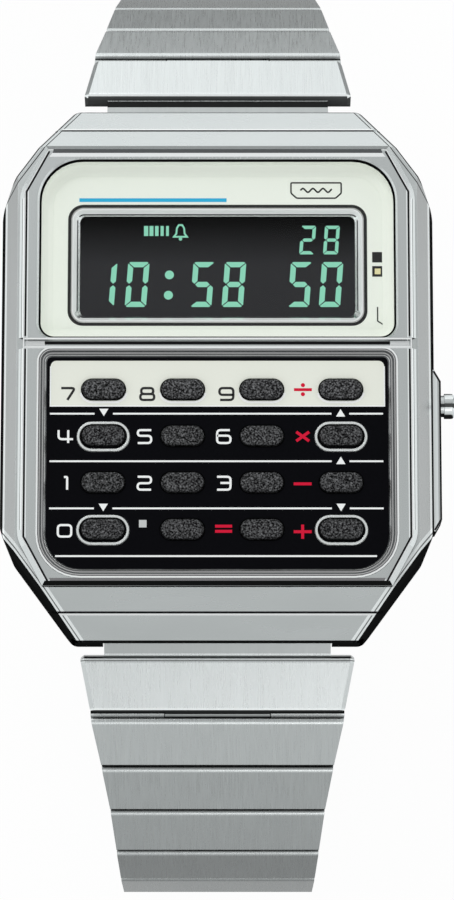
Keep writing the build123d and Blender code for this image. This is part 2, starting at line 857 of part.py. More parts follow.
lower_places = chain(-1, lower_slopes)
clasp_place = lower_places[-1]
upper_places = chain(1, upper_slopes)
end_turn = math.radians(end_slope)
last_drop = upper_places[-1][1] - clasp_place[1] - end_piece_length * math.sin(end_turn)
last_slope = flat_slope - math.degrees(math.asin(last_drop / link_pitch))
upper_all = upper_slopes + (last_slope,)
upper_places = chain(1, upper_all)
end_place = upper_places[-1]

links = {}
for side, label, slopes, places, plate_start in (
    (1, "upper_link", upper_all, upper_places, upper_plate_start),
    (-1, "lower_link", lower_slopes, lower_places, lower_plate_start),
):
    for number, slope in enumerate(slopes):
        if number:
            solids = link_body(number, link_gap / 2, link_pitch, True)
        else:
            solids = first_link(plate_start)
        plane = link_plane(places[number], slope, side)
        name = f"{label}_{number + 1}"
        links[name] = (side, slope, places[number])
        shapes[name] = Compound([plane.location * solid for solid in solids])

# End piece of the 12 o'clock half, its tip level with the clasp
end_number = len(upper_all)
end_head = centre_share * width_at(end_number) / 2
end_half = end_piece_width / 2
end_relief = link_down * math.tan(math.radians(relief_angle))
end_profile = (
    (link_gap / 2, 0),
    (link_gap / 2, link_up),
    (end_piece_length, link_up),
    (end_piece_length, -link_down),
    (link_gap / 2 + end_relief, -link_down),
)
end_body = prism_x(end_profile, -end_half, end_half)
end_nose = end_body.edges().filter_by(Axis.X).group_by(Axis.Z)[-1].sort_by(Axis.Y)[0]
end_body = fillet(end_nose, link_nose)
end_body -= rod_x(knuckle_radius + knuckle_gap, -end_head, end_head, 0, 0)
for sign in (-1, 1):
    low = min(sign * end_head, sign * end_half)
    high = max(sign * end_head, sign * end_half)
    end_body += rod_x(knuckle_radius, low, high, 0, 0)
end_pin = rod_x(pin_radius, pin_inset - end_half, end_half - pin_inset, 0, 0)
end_plane = link_plane(end_place, end_slope, 1)
shapes["upper_end_piece"] = Compound([
    end_plane.location * solid for solid in (end_body - end_pin, end_pin)
])

# Clasp: a tray hinged to the 6 o'clock half and a cover folded under it.
# Their frame starts at the tray's hinge, with Y to the 12 o'clock side and Z down, outward.
clasp_plane = link_plane(clasp_place, flat_slope, -1)
tip_y = end_place[0] + end_piece_length * math.cos(end_turn) - link_down * math.sin(end_turn)
tray_length = tip_y - loop_gap - clasp_place[0]
tray_number = len(lower_slopes)
tray_head = centre_share * width_at(tray_number) / 2
tray_relief = tray_up * math.tan(math.radians(relief_angle))
tray_profile = (
    (link_gap / 2, 0),
    (link_gap / 2, tray_down),
    (tray_length, tray_down),
    (tray_length, -tray_up),
    (link_gap / 2 + tray_relief, -tray_up),
)
tray = prism_x(tray_profile, -tray_half_x, tray_half_x)
tray -= rod_x(knuckle_radius + knuckle_gap, -tray_head, tray_head, 0, 0)
for sign in (-1, 1):
    low = min(sign * tray_head, sign * tray_half_x)
    high = max(sign * tray_head, sign * tray_half_x)
    tray += rod_x(knuckle_radius, low, high, 0, 0)
tray_pin = rod_x(pin_radius, pin_inset - tray_half_x, tray_half_x - pin_inset, 0, 0)
windows_length = tray_windows * tray_window_length + (tray_windows - 1) * tray_window_gap
window_start = (tray_length - windows_length) / 2
for number in range(tray_windows):
    y = window_start + number * (tray_window_length + tray_window_gap)
    tray -= block(
        -tray_window_half_x, tray_window_half_x, y, y + tray_window_length,
        -tray_up - overrun, tray_down + overrun,
    )
cover_axis_y = tray_length - cover_axis_back
cover_axis_z = cover_axis_down
tray -= rod_x(pin_radius + pin_gap, -tray_half_x, tray_half_x, cover_axis_y, cover_axis_z)
shapes["clasp_tray"] = Compound([clasp_plane.location * solid for solid in (tray - tray_pin, tray_pin)])

cover_inner = tray_half_x + cover_side_gap
cover_outer = cover_inner + cover_wall
cover_inside = tray_down + cover_gap
cover_outside = cover_inside + cover_thickness
cover_end = cover_axis_y - cover_base_back
cover = block(-cover_outer, cover_outer, cover_start, cover_end, cover_inside, cover_outside)
cover_corners = cover.edges().filter_by(Axis.Z).sort_by(Axis.Y)[:2]
cover = fillet(cover_corners, cover_corner)
long_edges = [
    edge for edge in cover.faces().sort_by(Axis.Z)[-1].edges()
    if edge.center().Y < cover_end - fit_gap
]
cover = chamfer(long_edges, cover_edge)
for sign in (-1, 1):
    low = min(sign * cover_inner, sign * cover_outer)
    high = max(sign * cover_inner, sign * cover_outer)
    wall = block(low, high, cover_start + cover_corner, cover_axis_y, -cover_wall_up, cover_inside)
    boss = rod_x(cover_boss_radius, low, high, cover_axis_y, cover_axis_z)
    cover += wall + boss
cover_pin = rod_x(pin_radius, pin_inset - cover_outer, cover_outer - pin_inset, cover_axis_y, cover_axis_z)
shapes["clasp_cover"] = Compound([
    clasp_plane.location * solid for solid in (cover - cover_pin, cover_pin)
])

# Lift everything so that the clasp cover stands at zero.
lift = cover_outside - clasp_place[1]

if __name__ == "__main__":
    os.makedirs("parts", exist_ok=True)
    for name, shape in shapes.items():
        export_step(Pos(0, 0, lift) * shape, f"parts/{name}.step")
    print("pieces", len(shapes), "lift", round(lift, 3), "last slope", round(last_slope, 2))
    print("tray length", round(tray_length, 2), "loop tip", round(tip_y, 2))
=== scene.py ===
import math
import bpy
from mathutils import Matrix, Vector


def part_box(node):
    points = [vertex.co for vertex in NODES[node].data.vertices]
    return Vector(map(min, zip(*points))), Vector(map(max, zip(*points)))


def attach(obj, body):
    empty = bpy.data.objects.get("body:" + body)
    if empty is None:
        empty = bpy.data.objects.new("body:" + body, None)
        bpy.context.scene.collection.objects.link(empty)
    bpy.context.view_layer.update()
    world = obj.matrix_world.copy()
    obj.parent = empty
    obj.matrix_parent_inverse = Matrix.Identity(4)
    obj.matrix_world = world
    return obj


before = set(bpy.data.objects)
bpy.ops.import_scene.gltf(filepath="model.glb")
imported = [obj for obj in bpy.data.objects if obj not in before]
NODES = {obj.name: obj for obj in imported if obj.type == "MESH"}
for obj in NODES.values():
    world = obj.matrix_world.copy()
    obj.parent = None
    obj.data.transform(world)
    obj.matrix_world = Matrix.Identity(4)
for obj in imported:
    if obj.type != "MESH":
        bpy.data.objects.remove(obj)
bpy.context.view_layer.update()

# Looks of the calculator watch: materials, printed marks, painted shade and highlights, display, light and
# camera.
# Lengths in this file are written in millimetres and turned into metres by MM.
MM = 0.001

# Direction that the case's slanted corner walls face, and how far out they lie.
CORNER_X = 0.8066
CORNER_Y = 0.5911
CORNER_OUT = 21.963

# ---- Node helpers
# Range in which nearly all values of a noise lie.
NOISE_LOW = 0.3
NOISE_HIGH = 0.7
# Rays that the edge and gap nodes trace.
EDGE_SAMPLES = 4
GAP_SAMPLES = 6


class Tree:
    """Small helper that adds nodes to one material or world and links them."""

    def __init__(self, owner):
        owner.use_nodes = True
        self.owner = owner
        self.nodes = owner.node_tree.nodes
        self.links = owner.node_tree.links
        self.nodes.clear()

    def add(self, kind, values=None, **settings):
        node = self.nodes.new(kind)
        for key, value in settings.items():
            setattr(node, key, value)
        for key, value in (values or {}).items():
            if isinstance(value, bpy.types.NodeSocket):
                self.links.new(value, node.inputs[key])
            else:
                node.inputs[key].default_value = value
        return node

    def math(self, operation, a, b=0.0):
        return self.add("ShaderNodeMath", {0: a, 1: b}, operation=operation).outputs[0]

    def place(self):
        """Place on the object in metres, as X, Y and Z."""
        source = self.add("ShaderNodeTexCoord").outputs["Object"]
        return self.add("ShaderNodeSeparateXYZ", {"Vector": source}).outputs

    def noise(self, stretch, detail=3.0):
        """Noise in object space, with its own frequency (per metre) along X, Y and Z."""
        place = self.add("ShaderNodeTexCoord").outputs["Object"]
        scaled = self.add("ShaderNodeVectorMath", {0: place, 1: stretch}, operation="MULTIPLY")
        values = {"Vector": scaled.outputs[0], "Scale": 1.0, "Detail": detail}
        return self.add("ShaderNodeTexNoise", values).outputs["Fac"]

    def spread(self, factor, low, high):
        """The noise's own range, spread from low to high."""
        return self.add("ShaderNodeMapRange", {
            "Value": factor, "From Min": NOISE_LOW, "From Max": NOISE_HIGH, "To Min": low, "To Max": high,
        }).outputs["Result"]

    def tint(self, factor, color, span):
        """The colour, made lighter and darker by the factor."""
        low = tuple(c * (1 - span) for c in color[:3]) + (1.0,)
        high = tuple(min(1.0, c * (1 + span)) for c in color[:3]) + (1.0,)
        return self.mix_colors(factor, low, high)

    def mix_colors(self, factor, first, second):
        """The first colour where the factor is zero, the second where it is one."""
        values = {"Factor": factor, "A": first, "B": second}
        return self.add("ShaderNodeMix", values, data_type="RGBA").outputs["Result"]

    def blend(self, mask, off, on):
        """The first value where the mask is zero, the second where it is one."""
        kept = self.math("MULTIPLY", self.math("SUBTRACT", 1.0, mask), off)
        return self.math("ADD", kept, self.math("MULTIPLY", mask, on))

    def axes(self):
        """Parts of the normal, and places on the object in millimetres."""
        source = self.add("ShaderNodeTexCoord").outputs
        normal = self.add("ShaderNodeSeparateXYZ", {"Vector": source["Normal"]}).outputs
        place = self.add("ShaderNodeSeparateXYZ", {"Vector": source["Object"]}).outputs
        beside = self.math("MULTIPLY", self.math("ABSOLUTE", place["X"]), 1 / MM)
        side = self.math("MULTIPLY", beside, CORNER_X)
        along = self.math("MULTIPLY", place["Y"], CORNER_Y / MM)
        return {
            "X": normal["X"], "Y": normal["Y"], "Z": normal["Z"],
            "S": beside, "V": self.math("MULTIPLY", place["Y"], 1 / MM),
            "P": self.math("ADD", side, along), "Q": self.math("SUBTRACT", side, along),
        }

    def within(self, axes, ranges):
        """One where every named part of the normal or place lies in its range."""
        mask = None
        for axis, low, high in ranges:
            part = axes[axis.upper()]
            if axis.islower():
                part = self.math("ABSOLUTE", part)
            test = self.math("MULTIPLY", self.math("GREATER_THAN", part, low),
                             self.math("LESS_THAN", part, high))
            mask = self.math("MULTIPLY", mask, test) if mask else test
        return mask

    def dim(self, color, share):
        """The colour times a share."""
        values = {0: color, "Scale": share}
        return self.add("ShaderNodeVectorMath", values, operation="SCALE").outputs[0]

    def bump(self, height, strength, distance, edge=0.0):
        """Relief of a given depth, on edges that look rounded where edge is above zero."""
        values = {"Height": height, "Strength": strength, "Distance": distance}
        if edge:
            bevel = self.add("ShaderNodeBevel", {"Radius": edge}, samples=EDGE_SAMPLES)
            values["Normal"] = bevel.outputs[0]
        return self.add("ShaderNodeBump", values).outputs["Normal"]

    def finish(self, shader):
        """Gives the material its shader, and returns the material."""
        out = self.add("ShaderNodeOutputMaterial")
        self.links.new(shader.outputs[0], out.inputs["Surface"])
        return self.owner

    def mix_shaders(self, factor, first, second):
        """The first shader where the factor is zero, the second where it is one."""
        mixed = self.add("ShaderNodeMixShader", {0: factor})
        self.links.new(first.outputs[0], mixed.inputs[1])
        self.links.new(second.outputs[0], mixed.inputs[2])
        return mixed


# A wide noise lies under the fine one, with this share of its frequency.
WIDE_SHARE = 0.07
WIDE_DETAIL = 2.0
FINE_WEIGHT = 0.6
# Faces painted darker than this share of brightness, as painted shade, mirror next to nothing.
DARK_SHARE = 0.3
DARK_GLOSS = 0.0
# Painted highlights on polished edges that catch the lamps: above this share a face is mostly lit, not
# mirroring.
BRIGHT_SHARE = 1.2
BRIGHT_METAL = 0.25
# How strongly the painted shade darkens gaps between the links.
GAP_SHADE_DEPTH = 2.8
# Above one, the light specks of a strong grain get rarer.
GRAIN_POWER = 2.2


def surface(name, color, rough, metallic=0.0, stretch=(9000, 9000, 9000), span=0.06,
            rough_span=0.04, grain=0.15, depth=0.004, edge=0.06, level=0.5, painted_facings=(),
            gap=0.0, strong=False):
    """Material with colour, gloss and relief that vary by a stretched noise.

    stretch = frequency of the noise per metre along X, Y and Z. span and rough_span = how far
    colour and roughness vary. grain and depth = strength and depth in millimetres of the
    relief. edge = radius in millimetres by which edges look rounded. level = specular level.
    painted_facings = faces told apart by their normal and place, painted darker or lighter as painted
    shade and highlight: (ranges, share of brightness, roughness), where ranges = ((axis, low, high), ...)
    and an axis in small letters ignores its sign.
    Axis V is the place along Y, S the distance to the middle along X, and P and Q count out
    of the case's 12 and 6 o'clock corners.
    gap = reach in millimetres within which nearby walls darken the colour as painted shade.
    strong = full contrast of the fine noise in the colour."""
    tree = Tree(bpy.data.materials.new(name))
    fine = tree.noise(stretch)
    wide = tree.noise(tuple(s * WIDE_SHARE for s in stretch), WIDE_DETAIL)
    blend = tree.math("ADD", tree.math("MULTIPLY", fine, FINE_WEIGHT),
                      tree.math("MULTIPLY", wide, 1 - FINE_WEIGHT))
    if strong:
        blend = tree.math("POWER", tree.spread(fine, 0.0, 1.0), GRAIN_POWER)
        level = tree.math("MULTIPLY", blend, level)
    gloss = tree.spread(fine, rough - rough_span, rough + rough_span)
    tone = tree.tint(blend, color, span)
    if painted_facings:
        axes = tree.axes()
        for ranges, share, face_rough in painted_facings:
            mask = tree.within(axes, ranges)
            # Painted shade or highlight: the colour times the face's share of brightness.
            tone = tree.dim(tone, tree.blend(mask, 1.0, share))
            gloss = tree.blend(mask, gloss, face_rough)
            if share < DARK_SHARE:
                metallic = tree.blend(mask, metallic, 0.0)
                level = tree.blend(mask, level, DARK_GLOSS)
            if share > BRIGHT_SHARE:
                metallic = tree.blend(mask, metallic, BRIGHT_METAL)
    if gap:
        # Painted shade: the colour darkened where nearby walls close in.
        open_share = tree.add("ShaderNodeAmbientOcclusion", {"Distance": gap * MM}, samples=GAP_SAMPLES)
        tone = tree.dim(tone, tree.math("POWER", open_share.outputs["AO"], GAP_SHADE_DEPTH))
    shader = tree.add("ShaderNodeBsdfPrincipled", {
        "Base Color": tone,
        "Metallic": metallic,
        "Roughness": gloss,
        "Specular IOR Level": level,
        "Normal": tree.bump(fine, grain, depth * MM, edge * MM),
    })
    return tree.finish(shader)


# ---- Materials
PURE_WHITE = (1.0, 1.0, 1.0, 1.0)
STEEL = (0.74, 0.765, 0.765)
# Frequencies of the noise per metre: fine across the brushing, and wide along it.
ALONG_Y = (14000, 260, 14000)
ALONG_X = (260, 14000, 14000)
SOFT_X = (150, 500, 500)
ALONG_BAND = (16000, 420, 420)
EVEN = (6000, 6000, 6000)
RIM_STEEL = (0.9, 0.92, 0.92)
FINE_RELIEF = {"grain": 0.03, "depth": 0.001}
LINK_FINISH = {"color": STEEL, "rough": 0.3, "metallic": 1.0, "stretch": ALONG_BAND, "span": 0.1,
               "rough_span": 0.06, "grain": 0.25, "depth": 0.003}
# Reach of the painted shade in the gaps between the links.
LINK_GAP_SHADE = 1.2

# Ranges of a normal that tell faces apart: (axis, low, high).
TOP = ("Z", 0.9, 1.1)
LEANING = ("Z", 0.2, 0.9)
CASE_TOP = ("Z", 0.22, 1.1)
CASE_UPRIGHT = ("z", -1, 0.22)
LINK_TOP = ("Z", 0.3, 1.1)
UPRIGHT = ("z", -1, 0.1)
SIDE_WALL = ("x", 0.3, 0.97)
OUTER_WALL = ("x", 0.985, 1.1)
# Faces of the long sides lean neither to 12 nor to 6 o'clock.
LONG_SIDE = ("y", -1, 0.05)
SIDE_BEVEL = ("x", 0.8, 0.9)
LOW_BEVEL = ("Y", -1, -0.69)
LINK_END = ("Y", -1.1, -0.42)
FIRST_LINK = ("V", 23.0, 24.2)
# Shares of brightness, for painted shade and painted highlight, and roughnesses that many faces have.
PAINTED_SHADE = 0.012
PAINTED_HIGHLIGHT = 1.34
MATT = 0.3
SATIN = 0.25
SMOOTH = 0.2
SHINY = 0.1
POLISHED = 0.08

# Painted reflections: upright walls of the case are painted dark, standing for the dark studio that they
# mirror, and bands on its bevels painted light and dark, standing for the bright walls.
LOW_EDGE = CORNER_OUT - 0.36
HIGH_EDGE = CORNER_OUT - 0.1
PAST_CORNER = CORNER_OUT + 1
case_painted_reflections = (
    ((("Y", -1.1, -0.8),), PAINTED_SHADE, MATT),
    ((CASE_TOP, ("Q", LOW_EDGE - 0.14, LOW_EDGE)), PAINTED_HIGHLIGHT, POLISHED),
    ((CASE_TOP, ("Q", LOW_EDGE - 0.24, LOW_EDGE - 0.16)), 0.25, SMOOTH),
    ((CASE_TOP, ("Q", LOW_EDGE - 0.46, LOW_EDGE - 0.24)), PAINTED_HIGHLIGHT, POLISHED),
    ((CASE_TOP, ("Q", LOW_EDGE, PAST_CORNER)), PAINTED_SHADE, MATT),
    ((CASE_TOP, ("P", HIGH_EDGE, PAST_CORNER)), 0.03, MATT),
    ((CASE_TOP, ("P", HIGH_EDGE - 0.34, HIGH_EDGE - 0.26)), 0.1, MATT),
    ((CASE_UPRIGHT, SIDE_WALL, ("V", -22, 0)), PAINTED_SHADE, MATT),
    ((CASE_UPRIGHT, SIDE_WALL, ("V", 0, 22)), 0.45, SATIN),
    ((CASE_UPRIGHT, ("x", 0.97, 0.985)), PAINTED_SHADE, MATT),
    ((OUTER_WALL,), 0.62, SATIN),
    ((("S", 16.9, 17.19), ("V", -15, 15), CASE_TOP), 0.02, MATT),
    ((SIDE_BEVEL, LONG_SIDE, ("S", 16.74, 16.9)), PAINTED_HIGHLIGHT, SHINY),
    ((SIDE_BEVEL, LONG_SIDE, ("S", 15.8, 16.74)), 0.86, 0.26),
)
case_metal = surface("case_satin", STEEL, 0.26, 1.0, SOFT_X, span=0.04, rough_span=0.03, grain=0.02,
                     depth=0.002, edge=0.03, painted_facings=case_painted_reflections)
# Painted shade and highlights on the plate, by the normal and place of its faces and bevels.
plate_painted_light = (
    ((UPRIGHT,), 0.02, MATT),
    ((TOP,), 0.95, SATIN),
    ((("Y", 0.69, 1), LEANING, ("V", 17, 22)), 0.5, SMOOTH),
    ((LOW_BEVEL, LEANING, ("V", -17.68, -17.25)), PAINTED_SHADE, MATT),
    ((LOW_BEVEL, LEANING, ("V", -22, -17.68)), 0.8, SATIN),
    ((LONG_SIDE, LEANING, ("S", 15.46, 15.7)), 1.0, SHINY),
    ((LONG_SIDE, LEANING, ("S", 15.41, 15.46)), 0.31, SMOOTH),
    ((LONG_SIDE, LEANING, ("S", 15.0, 15.41)), PAINTED_HIGHLIGHT, POLISHED),
    ((("x", 0.3, 1), ("Y", -1, -0.3), LEANING), 0.88, SMOOTH),
    ((TOP, ("S", 14.95, 15.04)), 1.3, SMOOTH),
)
plate_metal = surface("plate_satin", STEEL, 0.25, 1.0, ALONG_Y, span=0.04, rough_span=0.04, grain=0.1,
                      depth=0.002, edge=0.0, painted_facings=plate_painted_light)
polished = surface("polished_rim", RIM_STEEL, 0.12, 1.0, EVEN, span=0.02, rough_span=0.02,
                   edge=0.03, **FINE_RELIEF)
# Painted shade on the rim: dark upright walls and a darker top.
rim_painted_shade = (
    ((UPRIGHT,), 0.02, MATT),
    ((TOP,), 0.45, 0.15),
)
# Painted shade and highlight on the guard: dark walls, a bright top and a darker band on it.
guard_painted_light = (
    ((("z", -1, 0.2), ("x", -1, 0.985)), PAINTED_SHADE, MATT),
    ((OUTER_WALL,), 0.7, SATIN),
    ((TOP,), 1.25, SHINY),
    ((TOP, ("S", 17.44, 17.62)), 0.55, SMOOTH),
)
guard_metal = surface("guard_polish", STEEL, 0.12, 1.0, EVEN, span=0.02, rough_span=0.02, edge=0.0,
                      painted_facings=guard_painted_light, **FINE_RELIEF)
# Painted reflection: light and dark bands on a turned, polished cylinder along X, by its normal.
pusher_painted_bands = (
    ((("Y", 0.84, 1.1),), 0.02, MATT),
    ((("Y", 0.42, 0.84),), 1.28, 0.15),
    ((("Y", 0.05, 0.42),), 0.7, SMOOTH),
    ((("Y", -0.25, 0.05),), 0.1, SMOOTH),
    ((("Y", -0.75, -0.25),), 1.25, 0.15),
    ((("Y", -1.1, -0.8),), 0.02, MATT),
)
pusher_metal = surface("pusher_polish", STEEL, 0.15, 1.0, EVEN, span=0.03, rough_span=0.02, edge=0.0,
                       painted_facings=pusher_painted_bands, **FINE_RELIEF)
rim_metal = surface("rim_steps", RIM_STEEL, 0.12, 1.0, EVEN, span=0.03, rough_span=0.02, edge=0.0,
                    painted_facings=rim_painted_shade, **FINE_RELIEF)
# Links: painted shade on duller sides, and on dark ends on the half towards 12 o'clock, which look at the
# case.
link_side_shade = ((("x", 0.85, 1.1),), 0.42, MATT)
link_painted_shade = (link_side_shade, ((LINK_END, ("V", 0, 60)), 0.04, MATT))
link_metal = surface("link_brushed", edge=0.08, painted_facings=link_painted_shade, gap=LINK_GAP_SHADE, **LINK_FINISH)
# First links: painted shade on duller tongues and a dark end towards the case, and painted highlights on the
# edges beside it.
first_painted_light = (
    link_side_shade,
    ((LINK_END, ("V", 0, 23.0)), 0.04, MATT),
    ((LINK_END, ("V", 24.2, 60)), 0.04, MATT),
    ((("V", -22.2, 22.55), LINK_TOP), 0.66, MATT),
    ((("V", 22.55, 23.1), ("Y", 0.3, 0.36)), 0.03, MATT),
    ((FIRST_LINK, ("Y", -1.1, -0.35)), 0.11, MATT),
    ((FIRST_LINK, ("Y", -0.35, 0.15)), PAINTED_HIGHLIGHT, SMOOTH),
    ((("V", -22.62, -22.35), LINK_TOP), 0.45, MATT),
    ((("V", -22.74, -22.62), LINK_TOP), PAINTED_HIGHLIGHT, MATT),
    ((("V", -22.84, -22.74), LINK_TOP), 0.32, MATT),
    ((("V", -26.58, -26.44), LINK_TOP), PAINTED_HIGHLIGHT, SMOOTH),
    ((("V", -26.84, -26.58),), 0.03, MATT),
    ((("V", -28, -26.84),), 0.5, MATT),
)
first_metal = surface("link_first", edge=0.0, painted_facings=first_painted_light, **LINK_FINISH)
# Second links: also a band of painted shade, towards 6 o'clock.
second_painted_shade = link_painted_shade + (((("V", -26.8, -25),), 0.03, MATT),)
second_metal = surface("link_second", edge=0.08, painted_facings=second_painted_shade, gap=LINK_GAP_SHADE, **LINK_FINISH)
back_metal = surface("back_satin", STEEL, 0.3, 1.0, ALONG_X, span=0.06, rough_span=0.05, grain=0.15,
                     depth=0.002, edge=0.08)
small_metal = surface("turned_steel", (0.6, 0.61, 0.62), 0.25, 1.0, EVEN, span=0.08)
brass = surface("buzzer_brass", (0.72, 0.56, 0.28), 0.3, 1.0, EVEN, span=0.08)
cream = surface("cream_panel", (0.93, 0.955, 0.88), 0.5, 0.0, EVEN, span=0.012, rough_span=0.05,
                grain=0.05, depth=0.001, edge=0.0)
mat_rubber = surface("mat_rubber", (0.09, 0.09, 0.1), 0.7, 0.0, EVEN, span=0.1)
gasket_rubber = surface("gasket_rubber", (0.02, 0.02, 0.02), 0.6, 0.0, EVEN, span=0.1)
connector = surface("connector_stripes", (0.6, 0.3, 0.34), 0.6, 0.0, (60000, 50, 50), span=0.5)
board = surface("board_green", (0.03, 0.2, 0.08), 0.45, 0.0, EVEN, span=0.2)
frame_plastic = surface("module_plastic", (0.7, 0.68, 0.58), 0.5, 0.0, EVEN, span=0.05)
# Painted shade: the keys' sides darker, and the lower three rows, which stand on black, darker than the row
# on the cream strip.
key_painted_shade = (
    ((("Z", -1.1, 0.55),), 0.25, 0.5),
    ((("V", -20, -3.7),), 0.86, 0.45),
)
key_rubber = surface("key_grain", (0.1, 0.1, 0.104), 0.45, 0.0, (7500, 7500, 7500), span=0.98,
                     rough_span=0.2, grain=1.0, depth=0.06, edge=0.0, painted_facings=key_painted_shade, strong=True)


# Places along Y between which the display ground fades to its darkest share: a painted shadow along its
# upper edge.
DISPLAY_SHADOW_FADE = (8.4, 11.9)
DISPLAY_SHADOW_DARKEST = 0.03
DISPLAY_GROUND = (0.031, 0.0305, 0.0335)


def display_glass():
    """Dark display ground, with a painted shadow darkening it towards its upper edge."""
    tree = Tree(bpy.data.materials.new("display_ground"))
    grain = tree.noise((700, 700, 700))
    shade = tree.add("ShaderNodeMapRange", {
        "Value": tree.place()["Y"], "From Min": DISPLAY_SHADOW_FADE[0] * MM, "From Max": DISPLAY_SHADOW_FADE[1] * MM,
        "To Min": 1.0, "To Max": DISPLAY_SHADOW_DARKEST,
    }).outputs["Result"]
    shader = tree.add("ShaderNodeBsdfPrincipled", {
        "Base Color": tree.dim(tree.tint(grain, DISPLAY_GROUND, 0.02), shade),
        "Roughness": tree.spread(grain, 0.5, 0.6),
        "Specular IOR Level": 0.05,
    })
    return tree.finish(shader)


CRYSTAL_TINT = (0.997, 1.0, 0.997, 1.0)
# Low, so that the cover's reflection stays thin.
CRYSTAL_IOR = 1.16
CRYSTAL_EDGE = 0.15


def clear_crystal():
    """Clear cover: mostly see-through, with a thin even reflection."""
    tree = Tree(bpy.data.materials.new("crystal_clear"))
    grain = tree.noise((900, 900, 900))
    clear = tree.add("ShaderNodeBsdfTransparent", {"Color": CRYSTAL_TINT})
    gloss = tree.add("ShaderNodeBsdfGlossy", {
        "Color": PURE_WHITE, "Roughness": tree.spread(grain, 0.02, 0.05),
    })
    sheen = tree.add("ShaderNodeFresnel", {
        "IOR": CRYSTAL_IOR, "Normal": tree.bump(grain, 0.02, 0.001 * MM, CRYSTAL_EDGE * MM),
    }).outputs[0]
    inside = tree.add("ShaderNodeNewGeometry").outputs["Backfacing"]
    shadow = tree.add("ShaderNodeLightPath").outputs["Is Shadow Ray"]
    hidden = tree.math("MAXIMUM", inside, shadow)
    weight = tree.math("MULTIPLY", sheen, tree.math("SUBTRACT", 1.0, hidden))
    return tree.finish(tree.mix_shaders(weight, clear, gloss))


# Cream strip on the black plate, behind the top row of keys.
STRIP_HALF_X = 13.12
STRIP_LOW_Y = -3.4
STRIP_HIGH_Y = 0.232
STRIP_ROUND = 0.45
STRIP_CREAM = (0.86, 0.868, 0.785)
KEYPAD_BLACK = (0.0022, 0.0022, 0.0034)


def keypad_surface():
    """Near-black gloss with the cream strip behind the top row of keys."""
    tree = Tree(bpy.data.materials.new("keypad_gloss"))
    place = tree.place()
    side = tree.math("ABSOLUTE", place["X"])
    past_x = tree.math("SUBTRACT", side, (STRIP_HALF_X - STRIP_ROUND) * MM)
    out_x = tree.math("MAXIMUM", past_x, 0.0)
    past_y = tree.math("SUBTRACT", place["Y"], (STRIP_HIGH_Y - STRIP_ROUND) * MM)
    out_y = tree.math("MAXIMUM", past_y, 0.0)
    corner = tree.math("ADD", tree.math("MULTIPLY", out_x, out_x),
                       tree.math("MULTIPLY", out_y, out_y))
    inside = tree.math("LESS_THAN", corner, (STRIP_ROUND * MM) ** 2)
    above = tree.math("GREATER_THAN", place["Y"], STRIP_LOW_Y * MM)
    strip = tree.math("MULTIPLY", inside, above)
    grain = tree.noise(EVEN)
    color = tree.mix_colors(strip, tree.tint(grain, KEYPAD_BLACK, 0.3),
                            tree.tint(grain, STRIP_CREAM, 0.012))
    shader = tree.add("ShaderNodeBsdfPrincipled", {
        "Base Color": color,
        "Roughness": tree.spread(grain, 0.28, 0.36),
        "Specular IOR Level": 0.04,
        "Normal": tree.bump(grain, 0.03, 0.001 * MM, 0.03 * MM),
    })
    return tree.finish(shader)


def ink(name, color):
    """Plain printing ink, also used for a painted highlight."""
    tree = Tree(bpy.data.materials.new(name))
    grain = tree.noise((20000, 20000, 20000))
    shader = tree.add("ShaderNodeBsdfPrincipled", {
        "Base Color": tree.tint(grain, color, 0.05),
        "Roughness": tree.spread(grain, 0.45, 0.6),
        "Specular IOR Level": 0.2,
    })
    return tree.finish(shader)


white_ink = ink("print_white", (0.95, 0.965, 0.955))
# Painted highlight: the pale halo under the top row of keys.
halo_highlight_ink = ink("painted_halo_highlight", (0.99, 0.99, 0.98))
black_ink = ink("print_black", (0.022, 0.022, 0.022))
red_ink = ink("print_red", (0.69, 0.001, 0.034))
blue_ink = ink("print_blue", (0.03, 0.45, 0.75))
grey_ink = ink("print_grey", (0.58, 0.59, 0.59))
yellow_ink = ink("print_yellow", (0.86, 0.78, 0.45))
mint_ink = ink("segment_mint", (0.29, 0.72, 0.53))

FINISH = {
    "case_body": case_metal, "pusher_guard": guard_metal, "bezel_plate": plate_metal,
    "crystal": clear_crystal(), "face_mask": cream, "display_ring": polished,
    "lcd_panel": display_glass(), "display_connectors": connector, "keypad_rim": rim_metal,
    "keypad_plate": keypad_surface(), "key_mat": mat_rubber, "circuit_board": board,
    "module_frame": frame_plastic, "battery": small_metal, "battery_clip": small_metal,
    "buzzer_disc": brass, "case_back": back_metal, "case_back_screws": small_metal,
    "back_gasket": gasket_rubber, "mode_pusher": pusher_metal, "pusher_spring": small_metal,
    "spring_bars": small_metal, "upper_link_1": first_metal, "lower_link_1": first_metal,
    "lower_link_2": second_metal,
}
for name, piece in NODES.items():
    if name in FINISH:
        material = FINISH[name]
    elif name.startswith("key_"):
        material = key_rubber
    else:
        material = link_metal
    if not piece.material_slots:
        piece.data.materials.append(material)
    for slot in piece.material_slots:
        slot.material = material


# ---- Flat printed marks, and flat lines of painted shade and highlight
def top_of(node):
    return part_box(node)[1].z / MM


def new_object(name, points, faces, materials):
    """Mesh object from points in millimetres."""
    mesh = bpy.data.meshes.new(name)
    mesh.from_pydata([(x * MM, y * MM, z * MM) for x, y, z in points], [], faces)
    for material in materials:
        mesh.materials.append(material)
    piece = bpy.data.objects.new(name, mesh)
    bpy.context.collection.objects.link(piece)
    return piece


def flat_piece(name, polygons, z, material, body="head"):
    """Flat mesh at one level from a list of outlines. A third value lifts a point."""
    points = []
    faces = []
    for outline in polygons:
        area = sum(a[0] * b[1] - b[0] * a[1] for a, b in zip(outline, [*outline[1:], outline[0]]))
        if area < 0:
            outline = list(reversed(outline))
        faces.append(list(range(len(points), len(points) + len(outline))))
        for x, y, *raised in outline:
            points.append((x, y, z + sum(raised)))
    piece = new_object(name, points, faces, [material])
    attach(piece, body)


